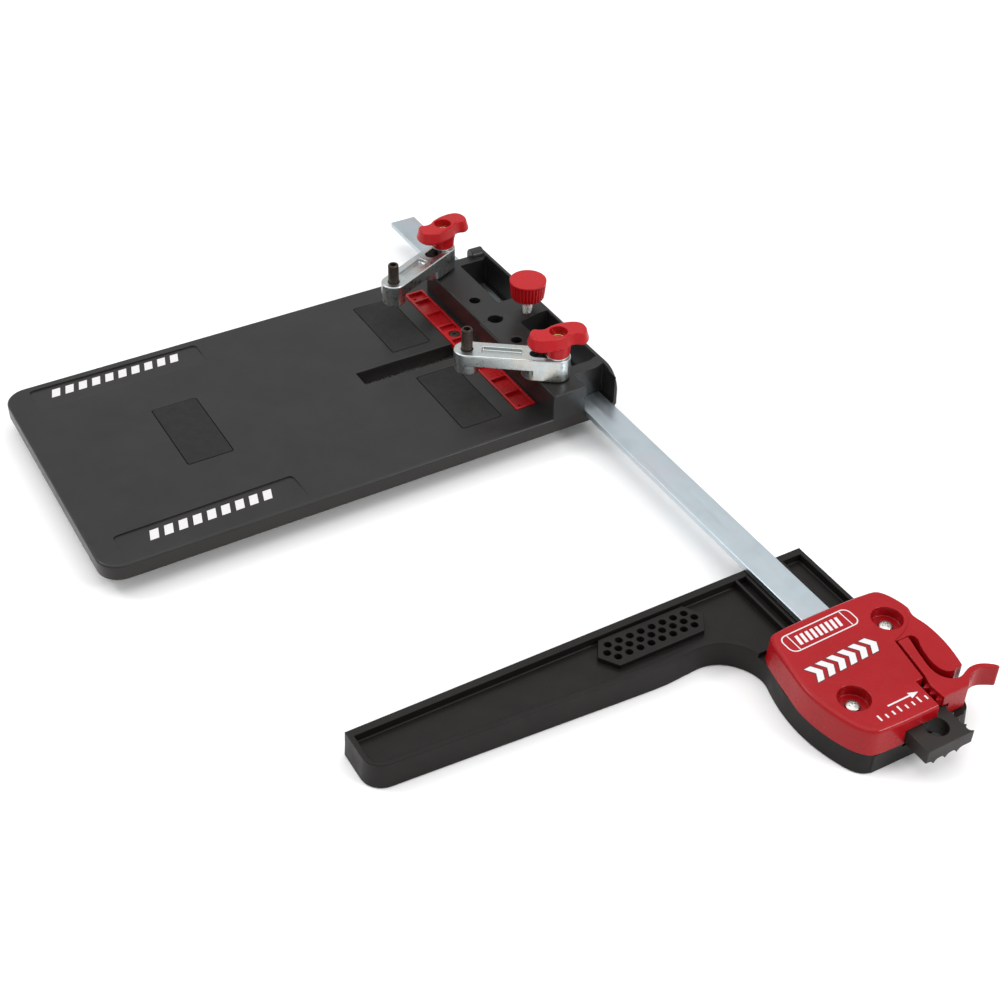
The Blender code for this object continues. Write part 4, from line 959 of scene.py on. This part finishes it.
def build_thumb_screw():
    x, y = THUMB
    low, high = extents("thumb_knob")
    radius = (high.x - low.x) / 2.0
    ribs, per_rib, depth = 32, 8, 0.85
    count = ribs * per_rib

    def ring(scale, relief):
        points = []
        for i in range(count):
            wave = 0.5 - 0.5 * math.cos(math.tau * i / per_rib)
            groove = depth * relief * wave ** 1.6
            a = math.tau * i / count
            reach = radius * scale - groove
            points.append((x + reach * math.cos(a), y + reach * math.sin(a)))
        return points

    levels = [(low.z, 0.80, 0.4), (low.z + 0.35, 0.86, 0.8), (low.z + 1.0, 0.895, 1.0),
              (low.z + 5.0, 0.94, 1.0), (high.z - 2.6, 0.985, 1.0), (high.z - 1.7, 0.992, 0.75),
              (high.z - 1.25, 0.998, 0.25), (high.z - 1.0, 1.0, 0.0), (high.z - 0.6, 1.0, 0.0),
              (high.z - 0.25, 0.985, 0.0), (high.z - 0.07, 0.965, 0.0), (high.z, 0.935, 0.0)]
    knob = loft("fluted_knob", [(z, ring(scale, relief)) for z, scale, relief in levels])
    cut(knob, prism(circle(x, y, 3.5, 32), 30.0, high.z - 3.0))
    finish(knob, "thumb", "red_plastic", ["thumb_knob"], "knob", sharp=55.0)

    stud_low, stud_high = extents("thumb_stud")
    profile = [(2.6, stud_low.z), (3.0, stud_low.z + 0.5)] + thread(3.28, 2.98, stud_low.z + 0.8, low.z - 1.5)
    profile += [(3.28, low.z - 0.6), (3.28, stud_high.z - 0.3), (3.0, stud_high.z)]
    finish(turned_solid("threaded_stud", x, y, profile), "thumb", "bright_steel", ["thumb_stud"],
           sharp=50.0)
    foot = collar("brass_foot", "pressure_pad", x, y, 3.2, (0.3, 0.25), (0.2, 0.2))
    finish(foot, "screw_pad", "brass", ["pressure_pad"])
    nut = collar("knurled_nut", "screw_nut", x, y, 5.0, (0.2, 0.2), (0.2, 0.2))
    cut(nut, cutter(circle(x, y, 3.6, 32), 6.0, 30.0))
    finish(nut, "base", "brass", ["screw_nut"])


# ---------------------------------------------------------------- printed marks
def print_shapes(name, outlines, height, body, slot, look="print"):
    """Thin raised ink: every outline becomes a sheet above a face, whose height may depend on y."""
    floor = height if callable(height) else lambda y: height
    ink = merged([sheet(name, outline, lambda y: floor(y) + INK_GAP, lambda y: floor(y) + INK_GAP + INK)
                  for outline in outlines])
    ink.name = name
    finish(ink, body, slot, look=look)


def slanted(x, y, width, height, lean=0.0, angle=0.0, origin=(0.0, 0.0)):
    shape = [(x, y), (x + width, y), (x + width + lean, y + height), (x + lean, y + height)]
    return turned(shape, origin, angle)


def build_marks():
    # plate: a row of plain slanted bars in each label field
    near = [slanted(8.6 * k, 0.0, 5.2, 8.4, 2.6, 1.0, (32.0, 13.6)) for k in range(9)]
    far = [slanted(8.6 * k, 0.0, 5.2, 8.4, 2.6, 0.0, (26.5, 170.6)) for k in range(10)]
    print_shapes("plate_bars_near", near, near_floor, "base", "plate_plastic")
    print_shapes("plate_bars_far", far, far_floor, "base", "plate_plastic")

    # cover: an empty name panel with hatching, a row of chevrons and a direction arrow
    corner, tilt = (282.5, -237.3), 1.6
    width, height, stroke = 45.6, 12.8, 0.7
    outer = turned(rectangle(0.0, width, 0.0, height, 4.4, 8), corner, tilt)
    inner = turned(rectangle(stroke, width - stroke, stroke, height - stroke, 3.7, 8), corner, tilt)
    ring = prism(outer, COVER_TOP + INK_GAP, COVER_TOP + INK_GAP + INK, name="cover_panel_ring")
    cut(ring, prism(inner, COVER_TOP - 1.0, COVER_TOP + 1.0))
    finish(ring, "fence", "red_plastic", look="print")
    bars = [slanted(5.0, 0.9, 0.6, height - 1.8, 0.0, tilt, corner),
            slanted(width - 5.6, 0.9, 0.6, height - 1.8, 0.0, tilt, corner)]
    bars += [slanted(7.4 + 3.3 * k, 3.1, 1.9, height - 6.2, 1.0, tilt, corner) for k in range(9)]
    print_shapes("cover_panel_bars", bars, COVER_TOP, "fence", "red_plastic")

    base, lean = (280.8, -259.2), 3.6
    for name, grow, height, look in (("chevron_edges", 0.55, COVER_TOP - 0.01, "shadow"),
                                     ("chevrons", 0.0, COVER_TOP + 0.045, "print")):
        shapes = []
        for k in range(6):
            x, y, w, h, nose = 7.4 * k, 0.0, 4.2, 10.6, 3.4
            shape = [(x, y), (x + w, y), (x + w + nose, y + h / 2),
                     (x + w, y + h), (x, y + h), (x + nose, y + h / 2)]
            shapes.append(turned(inset(shape, -grow), base, lean))
        print_shapes(name, shapes, height, "fence", "red_plastic", look)

    shaft = [(0.0, -0.45), (14.2, -0.45), (14.2, -2.0), (19.6, 0.0), (14.2, 2.0), (14.2, 0.45), (0.0, 0.45)]
    arrow = [turned(shaft, (300.4, -288.4), 0.4)]
    ticks = [slanted(4.2 * k, 0.0, 1.0, 3.8 if k % 3 == 0 else 2.6, 0.0, 0.4, (291.2, -294.6))
             for k in range(8)]
    print_shapes("travel_arrow", arrow + ticks, COVER_TOP, "fence", "red_plastic")


# ---------------------------------------------------------------- studio
def soft_light(name, place, target, size, power):
    data = bpy.data.lights.new(name, "AREA")
    data.shape = "RECTANGLE"
    data.size, data.size_y = size
    data.energy = power
    lamp = bpy.data.objects.new(name, data)
    bpy.context.scene.collection.objects.link(lamp)
    lamp.location = place
    lamp.rotation_euler = (Vector(target) - Vector(place)).to_track_quat("-Z", "Y").to_euler()


def build_studio():
    scene = bpy.context.scene
    scene.view_settings.view_transform = "Standard"
    world = bpy.data.worlds.new("studio")
    world.use_nodes = True
    back = world.node_tree.nodes["Background"]
    back.inputs["Color"].default_value = (1.0, 1.0, 1.0, 1.0)
    back.inputs["Strength"].default_value = 0.74
    scene.world = world

    floor_z = (Vector((0.0, 0.0, FENCE_BOTTOM)) * MM + ORIGIN).z - 0.0004
    reach = 6.0
    mesh = bpy.data.meshes.new("floor")
    mesh.from_pydata([(-reach, -reach, floor_z), (reach, -reach, floor_z), (reach, reach, floor_z),
                      (-reach, reach, floor_z)], [], [(0, 1, 2, 3)])
    floor = bpy.data.objects.new("floor", mesh)
    scene.collection.objects.link(floor)
    made = Surface("floor_paper", 0.0, 0.2)
    made.colour(made.ramp(made.noise(400.0, 2.0), [(0.3, (0.93, 0.93, 0.93)), (0.7, (0.95, 0.95, 0.95))]))
    made.shader.inputs["Roughness"].default_value = 0.9
    mesh.materials.append(made.done())

    centre = (0.05, -0.1, 0.0)
    soft_light("overhead", (0.0, 0.2, 2.4), (0.0, 0.0, 0.0), (3.2, 3.2), 38.0)
    soft_light("left_box", (-0.95, 0.75, 1.25), centre, (0.5, 0.35), 6.0)
    soft_light("right_box", (0.85, -1.30, 0.95), centre, (0.5, 0.3), 9.0)


def build_camera():
    lens = bpy.data.cameras.new("camera")
    lens.sensor_width = 36.0
    lens.lens = 57.31
    lens.shift_x, lens.shift_y = 0.0080, -0.0035
    camera = bpy.data.objects.new("camera", lens)
    bpy.context.scene.collection.objects.link(camera)
    yaw, pitch, roll = math.radians(30.34), math.radians(39.45), math.radians(0.80)
    turn = (Matrix.Rotation(-yaw, 4, "Z") @ Matrix.Rotation(math.pi / 2 - pitch, 4, "X")
            @ Matrix.Rotation(roll, 4, "Z"))
    place = Vector((-140.43, -654.87, 591.05)) * MM + ORIGIN
    camera.matrix_world = Matrix.Translation(place) @ turn
    lens.clip_start, lens.clip_end = 0.01, 50.0
    bpy.context.scene.camera = camera


build_camera()
LOOKS = make_materials()
for build in (build_plate, build_pads, build_insert, build_bar, build_rack, build_fence, build_cover,
              build_lever):
    build()
for clamp_side in ("near", "far"):
    build_clamp(clamp_side)
build_thumb_screw()
build_marks()
build_studio()

bpy.context.view_layer.update()
